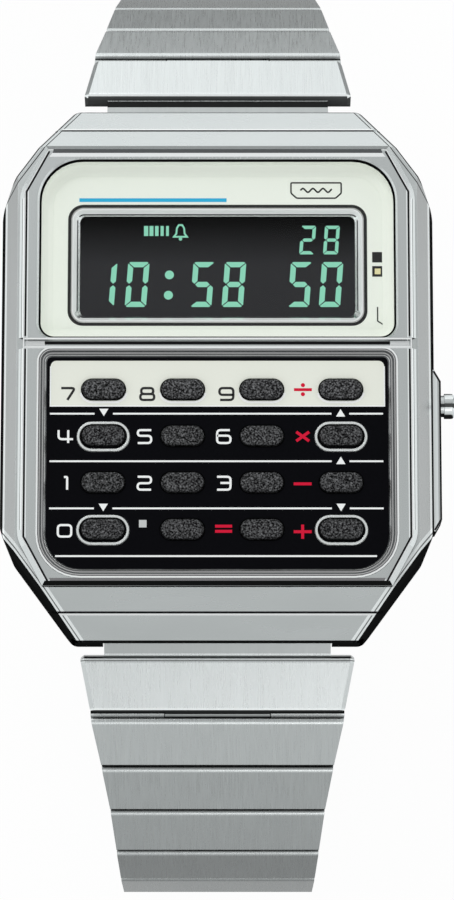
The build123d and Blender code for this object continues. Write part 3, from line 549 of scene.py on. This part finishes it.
# Points nearer to each other than this count as one.
SAME_POINT = 1e-4
# Least share by which the sideways step at a corner is divided, so that mitres stay short.
RIBBON_MITRE = 0.35
INSET_MITRE = 0.5


def corner_normal(first, second, least):
    """Sideways direction at the corner between two directions, and what to divide by."""
    mean = (first + second).normalized()
    normal = Vector((-mean.y, mean.x))
    return normal, max(least, normal.dot(Vector((-second.y, second.x))))


def ribbon(path, width, closed=False):
    """Outlines of a line of one width along a path, mitred at its corners."""
    path = [Vector(p) for p in path]
    path = [p for i, p in enumerate(path)
            if (i == 0 and not closed) or (p - path[i - 1]).length > SAME_POINT]
    count = len(path)
    left = []
    right = []
    for i, point in enumerate(path):
        before = path[i - 1] if closed or i else None
        after = path[(i + 1) % count] if closed or i < count - 1 else None
        first = (point - before).normalized() if before else (after - point).normalized()
        second = (after - point).normalized() if after else first
        normal, stretch = corner_normal(first, second, RIBBON_MITRE)
        left.append(point + normal * width / 2 / stretch)
        right.append(point - normal * width / 2 / stretch)
    outlines = []
    for i in range(count if closed else count - 1):
        after = (i + 1) % count
        outlines.append([tuple(left[i]), tuple(right[i]), tuple(right[after]), tuple(left[after])])
    return outlines


def rounded(path, radius, closed=False, steps=5):
    """Path with its corners rounded."""
    path = [Vector(p) for p in path]
    count = len(path)
    result = []
    for i, point in enumerate(path):
        if not closed and i in (0, count - 1):
            result.append(tuple(point))
            continue
        before = path[i - 1]
        after = path[(i + 1) % count]
        reach = min(radius, (before - point).length / 2, (after - point).length / 2)
        start = point + (before - point).normalized() * reach
        end = point + (after - point).normalized() * reach
        for step in range(steps + 1):
            t = step / steps
            result.append(tuple(start * (1 - t) ** 2 + point * 2 * t * (1 - t) + end * t ** 2))
    return result


def box_path(x_low, x_high, y_low, y_high):
    return [(x_low, y_low), (x_high, y_low), (x_high, y_high), (x_low, y_high)]


def disc(x, y, radius, steps=20):
    return [(x + radius * math.cos(math.tau * i / steps), y + radius * math.sin(math.tau * i / steps))
            for i in range(steps)]


# Strokes of one sign that cross lie this far above each other.
STROKE_LIFT = 0.006
STROKE_ROUND = 0.28
# The divide sign's dots: their levels, and their radius as a share of the stroke's width.
DOT_LEVELS = (0.95, 0.05)
DOT_SHARE = 0.7

# Signs as strokes on a field one wide and one high.
STROKES = {
    "0": [box_path(0, 1, 0, 1)],
    "1": [[(0, 0.97), (1, 1), (1, 0)]],
    "2": [[(0, 1), (1, 1), (1, 0.5), (0, 0.5), (0, 0), (1, 0)]],
    "3": [[(0, 1), (1, 1), (1, 0), (0, 0)], [(0.25, 0.52), (1, 0.52)]],
    "4": [[(0, 1), (0, 0.3), (1.08, 0.3)], [(0.72, 1), (0.72, 0)]],
    "5": [[(1, 1), (0, 1), (0, 0.56), (1, 0.56), (1, 0), (0, 0)]],
    "6": [[(0.95, 1), (0, 1), (0, 0), (1, 0), (1, 0.57), (0, 0.57)]],
    "7": [[(0, 1), (1, 1), (0.45, 0)]],
    "8": [box_path(0, 1, 0, 0.5), box_path(0.07, 0.93, 0.5, 1)],
    "9": [[(0.05, 0), (1, 0), (1, 1), (0, 1), (0, 0.43), (1, 0.43)]],
    "divide": [[(0, 0.5), (1, 0.5)], "dots"],
    "multiply": [[(0.08, 0.05), (0.92, 0.95)], [(0.08, 0.95), (0.92, 0.05)]],
    "minus": [[(0, 0.5), (1, 0.5)]],
    "equals": [[(0, 0.72), (1, 0.72)], [(0, 0.28), (1, 0.28)]],
    "plus": [[(0, 0.5), (1, 0.5)], [(0.5, 0), (0.5, 1)]],
}
CLOSED_SIGNS = ("0", "8")


def glyph(sign, x, y, width, height, weight):
    """Outlines of a digit or sign whose lower left stroke corner is at x, y."""
    outlines = []
    closed = sign in CLOSED_SIGNS
    for number, path in enumerate(STROKES[sign]):
        if path == "dots":
            for level in DOT_LEVELS:
                outlines.append(disc(x + width / 2, y + height * level, weight * DOT_SHARE))
            continue
        path = [(x + px * width, y + py * height) for px, py in path]
        stroke = ribbon(rounded(path, STROKE_ROUND, closed), weight, closed)
        outlines += [[(px, py, number * STROKE_LIFT) for px, py in outline] for outline in stroke]
    return outlines


# Rows and columns of keys and their marks, in millimetres on the face.
def middle_of(node):
    low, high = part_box(node)
    return (low.x + high.x) / 2 / MM, (low.y + high.y) / 2 / MM


KEY_X = [middle_of(node)[0] for node in ("key_7", "key_8", "key_9", "key_divide")]
KEY_Y = [middle_of(node)[1] for node in ("key_7", "key_4", "key_1", "key_0")]
PRINT_LIFT = 0.012
plate_z = top_of("keypad_plate") + PRINT_LIFT

# Outer box of a digit from the middle of its key: left, low, width and height, and weight.
DIGIT = (-3.59, -0.65, 1.22, 1.2, 0.17)
DIGIT_ONE = (-3.14, -0.65, 0.42, 1.2, 0.17)
DIGIT_ZERO = (-3.59, -0.65, 1.22, 1.08, 0.17)
DIGIT_ON_CREAM = (-3.42, -0.93, 1.28, 1.14, 0.19)
digit_rows = (("789", DIGIT_ON_CREAM), ("456", DIGIT), ("123", DIGIT), ("0", DIGIT_ZERO))
dark_marks = []
light_marks = []
for row, (digits, box) in enumerate(digit_rows):
    for column, digit in enumerate(digits):
        left, low, wide, high, weight = DIGIT_ONE if digit == "1" else box
        x = KEY_X[column] + left + weight / 2
        y = KEY_Y[row] + low + weight / 2
        outlines = glyph(digit, x, y, wide - weight, high - weight, weight)
        if row == 0:
            dark_marks += outlines
        else:
            light_marks += outlines
flat_piece("digits_dark", dark_marks, plate_z, black_ink)

# Signs: column, row, lower left corner from the key, width and height of the outer box
SIGN_WEIGHT = 0.23
signs = {
    "divide": (3, 0, -3.68, -0.53, 1.4, 1.04),
    "multiply": (3, 1, -3.61, -0.56, 1.2, 1.04),
    "minus": (3, 2, -3.73, -0.7, 1.4, 1.2),
    "plus": (3, 3, -3.74, -0.74, 1.4, 1.12),
    "equals": (2, 3, -3.66, -0.52, 1.33, 1.15),
}
red_marks = []
for sign, (column, row, left, low, wide, high) in signs.items():
    # Level strokes end square at the full width, and so does the upright one of the plus.
    inset = 0.0 if sign == "plus" else SIGN_WEIGHT / 2
    red_marks += glyph(sign, KEY_X[column] + left, KEY_Y[row] + low + inset, wide, high - 2 * inset,
                       SIGN_WEIGHT)
flat_piece("signs_red", red_marks, plate_z, red_ink)

# Guide lines as (level, runs from left to right), and their triangles as (x, y, up or down).
LINE_WIDTH = 0.14
LINE_LEFT = (-13.15, -9.65)
LINE_MIDDLE = (-8.2, 8.95)
LINE_RIGHT = (10.35, 13.0)
line_rows = [(-4.02, LINE_LEFT, LINE_MIDDLE, LINE_RIGHT), (-7.82, (-13.15, 8.95), LINE_RIGHT),
             (-11.57, LINE_LEFT, LINE_MIDDLE, LINE_RIGHT), (-15.35, (-12.65, 12.45))]
for y, *runs in line_rows:
    for x_low, x_high in runs:
        light_marks += ribbon([(x_low, y), (x_high, y)], LINE_WIDTH)
TRIANGLE_X = 0.36
TRIANGLE_Y = 0.3
triangles = [(-8.92, -3.92, -1), (9.67, -3.95, 1), (9.67, -7.75, 1), (-8.92, -11.5, -1), (9.67, -11.5, -1)]
for x, y, up in triangles:
    foot = y - up * TRIANGLE_Y
    light_marks.append([(x - TRIANGLE_X, foot), (x + TRIANGLE_X, foot), (x, y + up * TRIANGLE_Y)])
# Thin line round the cream strip: a painted highlight along its edge
STRIP_LINE = 0.1
strip_side = STRIP_HIGH_Y - STRIP_ROUND
light_marks += ribbon([(-STRIP_HALF_X, strip_side), (-STRIP_HALF_X, STRIP_LOW_Y),
                       (STRIP_HALF_X, STRIP_LOW_Y), (STRIP_HALF_X, strip_side)], STRIP_LINE)
flat_piece("marks_white", light_marks, plate_z, white_ink)
# Small square beside the bottom row
flat_piece("square_grey", [box_path(-6.12, -5.53, -13.08, -12.49)], plate_z, grey_ink)


def obround_path(x, y, half_length, radius, steps=14):
    points = []
    for side, start in ((1, -90), (-1, 90)):
        for i in range(steps + 1):
            turn = math.radians(start + 180 * i / steps)
            points.append((x + side * (half_length - radius) + radius * math.cos(turn),
                           y + radius * math.sin(turn)))
    return points


def inset_path(path, inset):
    """Closed path moved inwards, mitred at its corners. The path runs counter-clockwise."""
    path = [Vector(p) for p in path]
    count = len(path)
    result = []
    for i, point in enumerate(path):
        first = (point - path[i - 1]).normalized()
        second = (path[(i + 1) % count] - point).normalized()
        normal, stretch = corner_normal(first, second, INSET_MITRE)
        result.append(point + normal * inset / stretch)
    return result


def swept(name, paths, profile, materials, body="head"):
    """Frames along closed paths. The profile lists (inset, level, material of the next face)."""
    points = []
    faces = []
    slots = []
    for path in paths:
        loops = []
        for inset, level, slot in profile:
            moved = inset_path(path, inset)
            loops.append(range(len(points), len(points) + len(moved)))
            points += [(px, py, level) for px, py in moved]
        for number in range(len(profile) - 1):
            outer, inner = loops[number], loops[number + 1]
            count = len(outer)
            for i in range(count):
                faces.append((outer[i], outer[(i + 1) % count], inner[(i + 1) % count], inner[i]))
                slots.append(profile[number][2])
    piece = new_object(name, points, faces, materials)
    for face, slot in zip(piece.data.polygons, slots):
        face.material_index = slot
    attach(piece, body)


def window_path(half_x, y_low, y_high, round_low, round_high, steps=9):
    """Closed outline with its own corner rounding at the low and at the high end."""
    points = []
    for side, y, radius, start in ((1, y_low, round_low, 270), (1, y_high, round_high, 0),
                                   (-1, y_high, round_high, 90), (-1, y_low, round_low, 180)):
        centre_x = side * (half_x - radius)
        centre_y = y + radius if y == y_low else y - radius
        for i in range(steps + 1):
            turn = math.radians(start + 90 * i / steps)
            points.append((centre_x + radius * math.cos(turn), centre_y + radius * math.sin(turn)))
    return points


# Finishes of thin lines and edges: a bright metal for the key frames, and painted highlight, painted
# reflection and painted shade for the rest
EDGE_RELIEF = {"rough_span": 0.03, "grain": 0.02, "depth": 0.001, "edge": 0.0}
bright_frame = surface("bright_frame", (0.93, 0.95, 0.94), 0.3, 1.0, EVEN, span=0.03)
painted_dark_reflection = surface("painted_dark_reflection", (0.16, 0.165, 0.17), 0.2, 1.0, EVEN, span=0.05)
painted_highlight_edge = surface("painted_highlight_edge", (0.95, 0.96, 0.96), 0.15, 0.25, EVEN, span=0.02, **EDGE_RELIEF)
painted_rim_highlight = surface("painted_rim_highlight", (0.72, 0.71, 0.7), 0.15, 0.6, EVEN, span=0.03, **EDGE_RELIEF)
painted_grey_reflection = surface("painted_grey_reflection", (0.34, 0.33, 0.34), 0.2, 1.0, EVEN, span=0.05, **EDGE_RELIEF)
painted_shade_line = surface("painted_shade_line", (0.006, 0.006, 0.007), 0.5, 0.0, EVEN, span=0.2, level=0.1)

# Bright frames round four keys, raised and with sloping sides
FRAME_WIDTH = 0.3
FRAME_SLOPE = 0.07
FRAME_HEIGHT = 0.1
FRAME_HALVES = (2.11, 1.23)
FRAME_DROP = 0.05
framed = [obround_path(KEY_X[column], KEY_Y[row] - FRAME_DROP, *FRAME_HALVES)
          for column, row in ((0, 1), (3, 1), (0, 3), (3, 3))]
base = top_of("keypad_plate")
frame_top = base + FRAME_HEIGHT
swept("key_frames", framed,
      [(0, base, 0), (FRAME_SLOPE, frame_top, 0), (FRAME_WIDTH - FRAME_SLOPE, frame_top, 0),
       (FRAME_WIDTH, base, 0)],
      [bright_frame])
# Painted highlights: light crescents on the cream strip, under the top row of keys
CRESCENT_HALVES = (1.83, 0.95)
CRESCENT_DROP = 0.07
CRESCENT_BELOW = 0.2
CRESCENT_WIDTH = 0.16
crescents = []
for x in KEY_X:
    ring = obround_path(x, KEY_Y[0] - CRESCENT_DROP, *CRESCENT_HALVES)
    low_half = sorted(p for p in ring if p[1] < KEY_Y[0] - CRESCENT_BELOW)
    crescents += ribbon(low_half, CRESCENT_WIDTH)
flat_piece("key_highlight_crescents", crescents, plate_z, halo_highlight_ink)

# ---- Cream panel prints, and painted shade and highlight lines round the panel and on the metal
panel_z = top_of("face_mask") + PRINT_LIFT
STRIPE_Y = 13.58
flat_piece("panel_stripe", ribbon([(-11.0, STRIPE_Y), (0.72, STRIPE_Y)], 0.3), panel_z, blue_ink)
# Badge with a wave
badge = rounded([(5.85, 15.0), (9.85, 15.0), (9.85, 14.15), (9.4, 13.74), (6.3, 13.74),
                 (5.85, 14.15)], 0.1, True)
panel_dark = ribbon(badge, 0.12, True)
WAVE_X = 6.6
WAVE_Y = 14.38
WAVE_STEP = 0.1
WAVE_HEIGHT = 0.16
WAVE_POINTS = 26
WAVE_PERIOD = 8
wave = [(WAVE_X + WAVE_STEP * i, WAVE_Y + WAVE_HEIGHT * math.sin(math.tau * i / WAVE_PERIOD))
        for i in range(WAVE_POINTS)]
panel_dark += ribbon(wave, 0.13)
# Squares and a bent line on the right
panel_dark.append(box_path(12.28, 13.14, 8.48, 9.33))
panel_dark += ribbon(box_path(12.38, 13.04, 7.42, 8.08), 0.2, True)
panel_dark += ribbon([(12.68, 4.85), (12.68, 3.72), (13.3, 3.3)], 0.1)
# Dark line round the display's frame
RING_LINE_OUT = 0.14
ring_low, ring_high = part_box("display_ring")
outline = window_path(ring_high.x / MM + RING_LINE_OUT, ring_low.y / MM - RING_LINE_OUT,
                      ring_high.y / MM + RING_LINE_OUT, 1.1, 1.1)
panel_dark += ribbon(outline, 0.24, True)
flat_piece("panel_marks", panel_dark, panel_z, black_ink)
flat_piece("panel_yellow", [box_path(12.47, 12.95, 7.51, 7.99)], panel_z, yellow_ink)

# Thin pieces lie this far above the metal that they are on.
THIN_LIFT = 0.004
ring_level = ring_high.z / MM + THIN_LIFT
ring_path = window_path(ring_high.x / MM, ring_low.y / MM, ring_high.y / MM, 1.0, 1.0)
# Painted highlight and painted dark reflection lines on the display's frame
swept("ring_lines", [ring_path],
      [(0.0, ring_level, 1), (0.1, ring_level, 0), (0.18, ring_level, 0), (0.44, ring_level - 0.25, 2),
       (0.54, ring_level - 0.345, 1)], [painted_highlight_edge, painted_rim_highlight, painted_dark_reflection])

# Edge of the panel: a line of painted shade against the plate, and a lip that curves up to it.
mask_low, mask_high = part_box("face_mask")
crystal_top = top_of("crystal")
panel_path = window_path(mask_high.x / MM, mask_low.y / MM, mask_high.y / MM, 1.2, 3.4)
swept("panel_lip", [panel_path],
      [(0.12, crystal_top - 0.4, 0), (0.14, panel_z + 0.3, 0), (0.3, panel_z + 0.18, 0),
       (0.6, panel_z + 0.07, 0), (1.0, panel_z, 0)], [cream])
SEAM_DROP = 0.49
SEAM_WIDTH = 0.13
SEAM_RISE = 0.14
seam_level = crystal_top - SEAM_DROP
swept("panel_seam", [panel_path], [(0.0, seam_level, 0), (SEAM_WIDTH, seam_level + SEAM_RISE, 0)],
      [painted_shade_line])

# Painted lines round the plate: painted highlight in its groove and along both ends, painted shade inside
# the groove.
plate_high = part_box("bezel_plate")[1]
plate_x = plate_high.x / MM
plate_end = plate_high.y / MM
plate_top = plate_high.z / MM
# What the plate's slanted corners take off its length and its width.
CUT_Y = 3.7
CUT_X = 2.0
BEVEL = 0.35
GROOVE = 0.1
LINE_SINK = 0.02
plate_path = [(plate_x, CUT_Y - plate_end), (plate_x, plate_end - CUT_Y), (plate_x - CUT_X, plate_end),
              (CUT_X - plate_x, plate_end), (-plate_x, plate_end - CUT_Y), (-plate_x, CUT_Y - plate_end),
              (CUT_X - plate_x, -plate_end), (plate_x - CUT_X, -plate_end)]
line_level = plate_top - LINE_SINK
swept("plate_line", [inset_path(plate_path, BEVEL)],
      [(0.0, line_level, 0), (GROOVE, line_level, 0)], [painted_highlight_edge])
# The painted dark line stops at both sides of the divider and runs on a little at its low end.
DIVIDER_HIGH = 2.02
DIVIDER_LOW = 1.15
DARK_INSET = 0.53
DARK_WIDTH = 0.15
DARK_RUN_ON = 0.25
DARK_BELOW = 0.04
DARK_ABOVE = 0.12
DARK_LIFT = 0.008
inner_path = [tuple(p) for p in inset_path(plate_path, DARK_INSET)]
plate_dark = []
for side, low_run, high_run in ((1, (7, 0), (1, 2)), (-1, (6, 5), (4, 3))):
    x = side * inner_path[0][0]
    low_run = [inner_path[i] for i in low_run]
    high_run = [inner_path[i] for i in high_run]
    outward = (Vector(low_run[0]) - Vector(low_run[1])).normalized()
    low_run[0] = tuple(Vector(low_run[0]) + outward * DARK_RUN_ON)
    plate_dark += ribbon(low_run + [(x, DIVIDER_LOW - DARK_BELOW)], DARK_WIDTH)
    plate_dark += ribbon([(x, DIVIDER_HIGH + DARK_ABOVE)] + high_run, DARK_WIDTH)
flat_piece("plate_dark_lines", plate_dark, plate_top + DARK_LIFT, painted_shade_line)
# Bands of painted shade and highlight across both ends of the plate: half width and place of each long side.
rim_y = plate_end - BEVEL
BANDS = (("plate_high_shade", 13.0, rim_y, 13.1, 17.03, painted_dark_reflection),
         ("plate_low_shade", 13.0, -rim_y, 13.1, 0.22 - rim_y, painted_grey_reflection),
         ("plate_high_light", 13.1, 17.03, 13.35, 16.72, painted_highlight_edge))
for name, outer_half, outer_y, inner_half, inner_y, material in BANDS:
    band = [(-outer_half, outer_y), (-inner_half, inner_y), (inner_half, inner_y), (outer_half, outer_y)]
    flat_piece(name, [band], plate_top + THIN_LIFT, material)

# Rim of the keypad: a painted highlight at its edge, and painted reflection lines on its flat, its step and
# its slope.
RIM_STEP = 0.17
rim_low, rim_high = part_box("keypad_rim")
rim_top = rim_high.z / MM + THIN_LIFT
rim_step = rim_top - RIM_STEP
rim_path = window_path(rim_high.x / MM, rim_low.y / MM, rim_high.y / MM, 3.3, 1.0)
swept("keypad_edge", [rim_path], [(-0.17, rim_top, 0), (-0.03, rim_top, 0)], [painted_highlight_edge])
swept("rim_lines", [rim_path],
      [(0.0, rim_top, 2), (0.07, rim_top, 0), (0.12, rim_top, 1), (0.2, rim_top, 2),
       (0.21, rim_step, 1), (0.28, rim_step, 0), (0.33, rim_step, 2), (0.39, rim_step, 1),
       (0.46, rim_top - 0.24, 0), (0.5, rim_top - 0.28, 1), (0.6, rim_top - 0.38, 0)],
      [painted_rim_highlight, painted_dark_reflection, painted_grey_reflection])

# Divider between the two windows: painted highlights on its edges with a painted dark core, and a painted
# light end beside each.
WINDOW_HALF_X = 13.6
DIVIDER_INSET = 0.46
DIVIDER_END = 1.5
divider_x = plate_x - DIVIDER_INSET
divider_floor = plate_top - 0.346
for name, x, y_low, y_high, level, material in (
        ("divider_high", divider_x, DIVIDER_HIGH - 0.15, DIVIDER_HIGH, line_level, painted_highlight_edge),
        ("divider_core", WINDOW_HALF_X, DIVIDER_HIGH - 0.49, DIVIDER_HIGH - 0.23, divider_floor, painted_shade_line),
        ("divider_low", divider_x, DIVIDER_LOW, DIVIDER_LOW + 0.22, plate_top - 0.1, painted_highlight_edge)):
    flat_piece(name, [box_path(-x, x, y_low, y_high)], level, material)
flat_piece("divider_ends", [box_path(x, x + DIVIDER_END, DIVIDER_LOW + 0.3, DIVIDER_HIGH - 0.2)
                            for x in (-WINDOW_HALF_X - DIVIDER_END, WINDOW_HALF_X)],
           divider_floor, painted_highlight_edge)


def sloped_line(name, side, y_near, y_far, half_near, half_far, material):
    """Thin painted line of shade or highlight across one end's strip, laid on its slope. y counts from the
    middle out.
    """
    points = [(x, side * y, strip_level(y) + PRINT_LIFT)
              for x, y in ((-half_near, y_near), (half_near, y_near), (half_far, y_far), (-half_far, y_far))]
    piece = new_object(name, points, [(0, 1, 2, 3) if side > 0 else (3, 2, 1, 0)], [material])
    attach(piece, "head")


case_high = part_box("case_body")[1]
case_end = case_high.y / MM
case_level = case_high.z / MM
STRIP_LENGTH = 3.85
STRIP_DROP = 3.4
CORNER_LEAN = 4.8 / 6.55
STRIP_END_HALF = 11.4
STRIP_INSET = 0.45
# Where the fine groove across each strip, painted as a line of shade and a line of highlight, starts, turns
# light and ends.
STRIP_GROOVE = (19.43, 19.57, 19.7)


def strip_level(y):
    return case_level - STRIP_DROP * (y - case_end + STRIP_LENGTH) / STRIP_LENGTH


def strip_half(y):
    """Half width of the strip between its bevelled corners."""
    return STRIP_END_HALF - STRIP_INSET + (case_end - y) * CORNER_LEAN


for side, label in ((1, "high"), (-1, "low")):
    for part, near, far, material in (("dark", STRIP_GROOVE[0], STRIP_GROOVE[1], painted_shade_line),
                                      ("light", STRIP_GROOVE[1], STRIP_GROOVE[2], painted_highlight_edge)):
        sloped_line(f"strip_{part}_{label}", side, near, far, strip_half(near), strip_half(far), material)

# Dark outer edge of the guard, painted as shade. Its corners count inwards from the outline, along X and Y.
GUARD_CORNERS = ((0.56, 0.1), (0.06, 0.95))
GUARD_LINE = 0.15
guard_low, guard_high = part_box("pusher_guard")
guard_x = guard_high.x / MM
guard_line = [(guard_x - x, guard_low.y / MM + y) for x, y in GUARD_CORNERS]
guard_line += [(guard_x - x, guard_high.y / MM - y) for x, y in reversed(GUARD_CORNERS)]
flat_piece("guard_edge", ribbon(guard_line, GUARD_LINE), guard_high.z / MM + THIN_LIFT, painted_shade_line)

# ---- Display segments
DISPLAY_LIFT = 0.02
display_z = top_of("lcd_panel") + DISPLAY_LIFT
SEGMENTS = {"0": "abcdef", "1": "bc", "2": "abged", "3": "abgcd", "4": "fgbc", "5": "afgcd",
            "6": "afgedc", "7": "abc", "8": "abcdefg", "9": "abcdfg"}
SLANT = 0.076
# Gap between two bars and cut of their corners, as shares of a bar's width.
BAR_GAP_SHARE = 0.14
BAR_CUT_SHARE = 0.4


def segment_digit(sign, x, y, width, height, bar):
    """Outlines of the lit bars of one leaning digit, mitred where they meet."""
    gap = bar * BAR_GAP_SHARE
    cut = bar * BAR_CUT_SHARE
    middle = height / 2

    def lean(points):
        return [(x + px + py * SLANT, y + py) for px, py in points]

    def upside(points):
        return [(px, height - py) for px, py in points]

    def mirror(points):
        return [(width - px, py) for px, py in points]

    low = [(cut, 0), (width - cut, 0), (width - cut / 2, cut / 2), (width - bar - gap, bar),
           (bar + gap, bar), (cut / 2, cut / 2)]
    left = [(0, cut), (cut / 2 - gap / 2, cut / 2 + gap), (bar, bar + gap), (bar, middle - bar / 2 - gap),
            (bar / 2, middle - gap), (0, middle - bar / 2 - gap / 2)]
    across = [(bar / 2 + gap, middle), (bar + gap, middle - bar / 2), (width - bar - gap, middle - bar / 2),
              (width - bar / 2 - gap, middle), (width - bar - gap, middle + bar / 2),
              (bar + gap, middle + bar / 2)]
    bars = {"a": upside(low), "b": upside(mirror(left)), "c": mirror(left), "d": low, "e": left,
            "f": upside(left), "g": across}
    return [lean(bars[letter]) for letter in SEGMENTS[sign]]


# Width, height and bar of the large and the small digits, and the levels that they stand on.
BIG = (1.7, 3.67, 0.43)
SMALL = (1.19, 2.35, 0.27)
BIG_Y = 4.964
SMALL_Y = 9.256
COLON_RADIUS = 0.36
lit = []
for sign, x in (("1", -9.93), ("0", -7.373), ("5", -2.188), ("8", 0.317), ("5", 5.565), ("0", 8.03)):
    lit += segment_digit(sign, x, BIG_Y, *BIG)
for x, y in ((-3.823, 7.581), (-3.898, 5.925)):
    lit.append(disc(x, y, COLON_RADIUS))
for sign, x in (("2", 6.489), ("8", 8.385)):
    lit += segment_digit(sign, x, SMALL_Y, *SMALL)
# Row of bars that get narrower to the right, beside the bell
ROW_X = -5.857
ROW_LOW = 10.763
ROW_HIGH = 11.583
ROW_STEP = 0.44
ROW_WIDTH = 0.34
ROW_NARROWING = 0.03
for i in range(5):
    x = ROW_X + i * ROW_STEP
    wide = ROW_WIDTH - i * ROW_NARROWING
    lit.append(box_path(x, x + wide, ROW_LOW, ROW_HIGH))
bell = [(-3.47, 10.7), (-2.43, 10.7), (-2.62, 10.95), (-2.66, 11.4), (-2.82, 11.66), (-3.08, 11.66),
        (-3.24, 11.4), (-3.28, 10.95)]
BELL_LINE = 0.14
lit += ribbon(bell, BELL_LINE, True)
lit.append(disc(-2.95, 10.52, BELL_LINE))
flat_piece("display_digits", lit, display_z, mint_ink)


# ---- Floor, light and camera
# Share of plain white that the camera sees of the floor, and the shares that mirrors see from
# near to far along Y, in metres.
FLOOR_CAMERA_SHARE = 0.95
FLOOR_MIRROR_SHARE = {"From Min": 0.03, "From Max": 0.06, "To Min": 0.53, "To Max": 0.02}
FLOOR_GREY = (0.27, 0.27, 0.27)


def floor_surface():
    """Pale floor: white to the camera, soft grey to what it lights, and it keeps the shadow.
    A camera below it looks through."""
    tree = Tree(bpy.data.materials.new("floor_pale"))
    grain = tree.noise((40, 40, 40))
    rays = tree.add("ShaderNodeLightPath")
    seen = tree.math("MAXIMUM", rays.outputs["Is Camera Ray"], rays.outputs["Is Transmission Ray"])
    tone = tree.mix_colors(seen, tree.tint(grain, FLOOR_GREY, 0.01), PURE_WHITE)
    diffuse = tree.add("ShaderNodeBsdfDiffuse", {"Color": tone})
    white = tree.add("ShaderNodeEmission", {"Color": PURE_WHITE, "Strength": 1.0})
    along = tree.math("ABSOLUTE", tree.place()["Y"])
    beside = tree.add("ShaderNodeMapRange", {"Value": along, **FLOOR_MIRROR_SHARE}).outputs["Result"]
    shiny = tree.math("MULTIPLY", rays.outputs["Is Glossy Ray"], beside)
    share = tree.math("MAXIMUM", tree.math("MULTIPLY", seen, FLOOR_CAMERA_SHARE), shiny)
    mixed = tree.mix_shaders(share, diffuse, white)
    under = tree.math("MULTIPLY", tree.add("ShaderNodeNewGeometry").outputs["Backfacing"], seen)
    return tree.finish(tree.mix_shaders(under, mixed, tree.add("ShaderNodeBsdfTransparent")))


FLOOR_HALF = 160
# A little under the clasp, so that the two don't share a plane.
FLOOR_LEVEL = -0.05
corners = [(x, y, FLOOR_LEVEL) for x, y in box_path(-FLOOR_HALF, FLOOR_HALF, -FLOOR_HALF, FLOOR_HALF)]
floor = new_object("floor", corners, [(0, 1, 2, 3)], [floor_surface()])

# Studio walls: level of light from the 6 o'clock side (0) over straight up (0.5) to the
# 12 o'clock side (1).
SKY_LEVELS = ((0.0, 0.36), (0.03, 0.66), (0.28, 0.6), (0.5, 0.56), (0.62, 0.5), (0.74, 0.75),
              (0.88, 0.97), (1.0, 1.05))
# Level of the side walls, by how far a direction leans to 3 or 9 o'clock.
SIDE_LEVELS = {"From Min": 0.55, "From Max": 0.8, "To Min": 0.0, "To Max": 1.0}
SKY_TINT = (0.97, 1.0, 1.0, 1.0)
world = bpy.data.worlds.new("studio")
bpy.context.scene.world = world
sky = Tree(world)
direction = sky.add("ShaderNodeTexCoord").outputs["Generated"]
parts = sky.add("ShaderNodeSeparateXYZ", {"Vector": direction})
place = sky.math("ADD", sky.math("MULTIPLY", parts.outputs["Y"], 0.5), 0.5)
ramp = sky.add("ShaderNodeValToRGB", {"Fac": place})
stops = ramp.color_ramp.elements
while len(stops) < len(SKY_LEVELS):
    stops.new(0.5)
for stop, (position, shade) in zip(stops, SKY_LEVELS):
    stop.position = position
    stop.color = (shade, shade, shade, 1.0)
side = sky.math("ABSOLUTE", parts.outputs["X"])
side_level = sky.add("ShaderNodeMapRange", {"Value": side, **SIDE_LEVELS}).outputs["Result"]
level = sky.math("MAXIMUM", ramp.outputs["Color"], side_level)
rays = sky.add("ShaderNodeLightPath")
to_lens = sky.math("MAXIMUM", rays.outputs["Is Camera Ray"], rays.outputs["Is Transmission Ray"])
level = sky.math("MAXIMUM", level, to_lens)
background = sky.add("ShaderNodeBackground", {"Color": SKY_TINT, "Strength": level})
out = sky.add("ShaderNodeOutputWorld")
sky.links.new(background.outputs[0], out.inputs["Surface"])


# Point that the lamps look at, and their size, in metres.
LIGHT_TARGET = (0.0, 0.0, 0.03)
LIGHT_SIZE = (0.4, 0.3)


def soft_light(name, place, power):
    """Soft lamp with its place in metres and its power in watts."""
    data = bpy.data.lights.new(name, "AREA")
    data.shape = "RECTANGLE"
    data.size, data.size_y = LIGHT_SIZE
    data.energy = power
    lamp = bpy.data.objects.new(name, data)
    bpy.context.collection.objects.link(lamp)
    lamp.location = place
    aim = Vector(LIGHT_TARGET) - lamp.location
    lamp.rotation_euler = aim.to_track_quat("-Z", "Y").to_euler()


soft_light("key_light", (-0.3, 0.45, 0.7), 1.3)
soft_light("front_light", (0.2, -0.5, 0.6), 0.65)

# Camera: the point in the middle of the picture, its tilt towards 6 o'clock and its distance.
FOCUS_POINT = Vector((0.754, -6.145, 37.07)) * MM
CAMERA_TILT = math.radians(11.0)
CAMERA_DISTANCE = 0.320
LENS = 107.5
SENSOR_HEIGHT = 24.0
camera_data = bpy.data.cameras.new("camera")
camera_data.sensor_fit = "VERTICAL"
camera_data.sensor_height = SENSOR_HEIGHT
camera_data.lens = LENS
camera_data.clip_start = 0.01
camera = bpy.data.objects.new("camera", camera_data)
bpy.context.collection.objects.link(camera)
away = Vector((0.0, -math.sin(CAMERA_TILT), math.cos(CAMERA_TILT)))
camera.location = FOCUS_POINT + away * CAMERA_DISTANCE
camera.rotation_euler = (CAMERA_TILT, 0.0, 0.0)
bpy.context.scene.camera = camera
bpy.context.scene.view_settings.view_transform = "Standard"
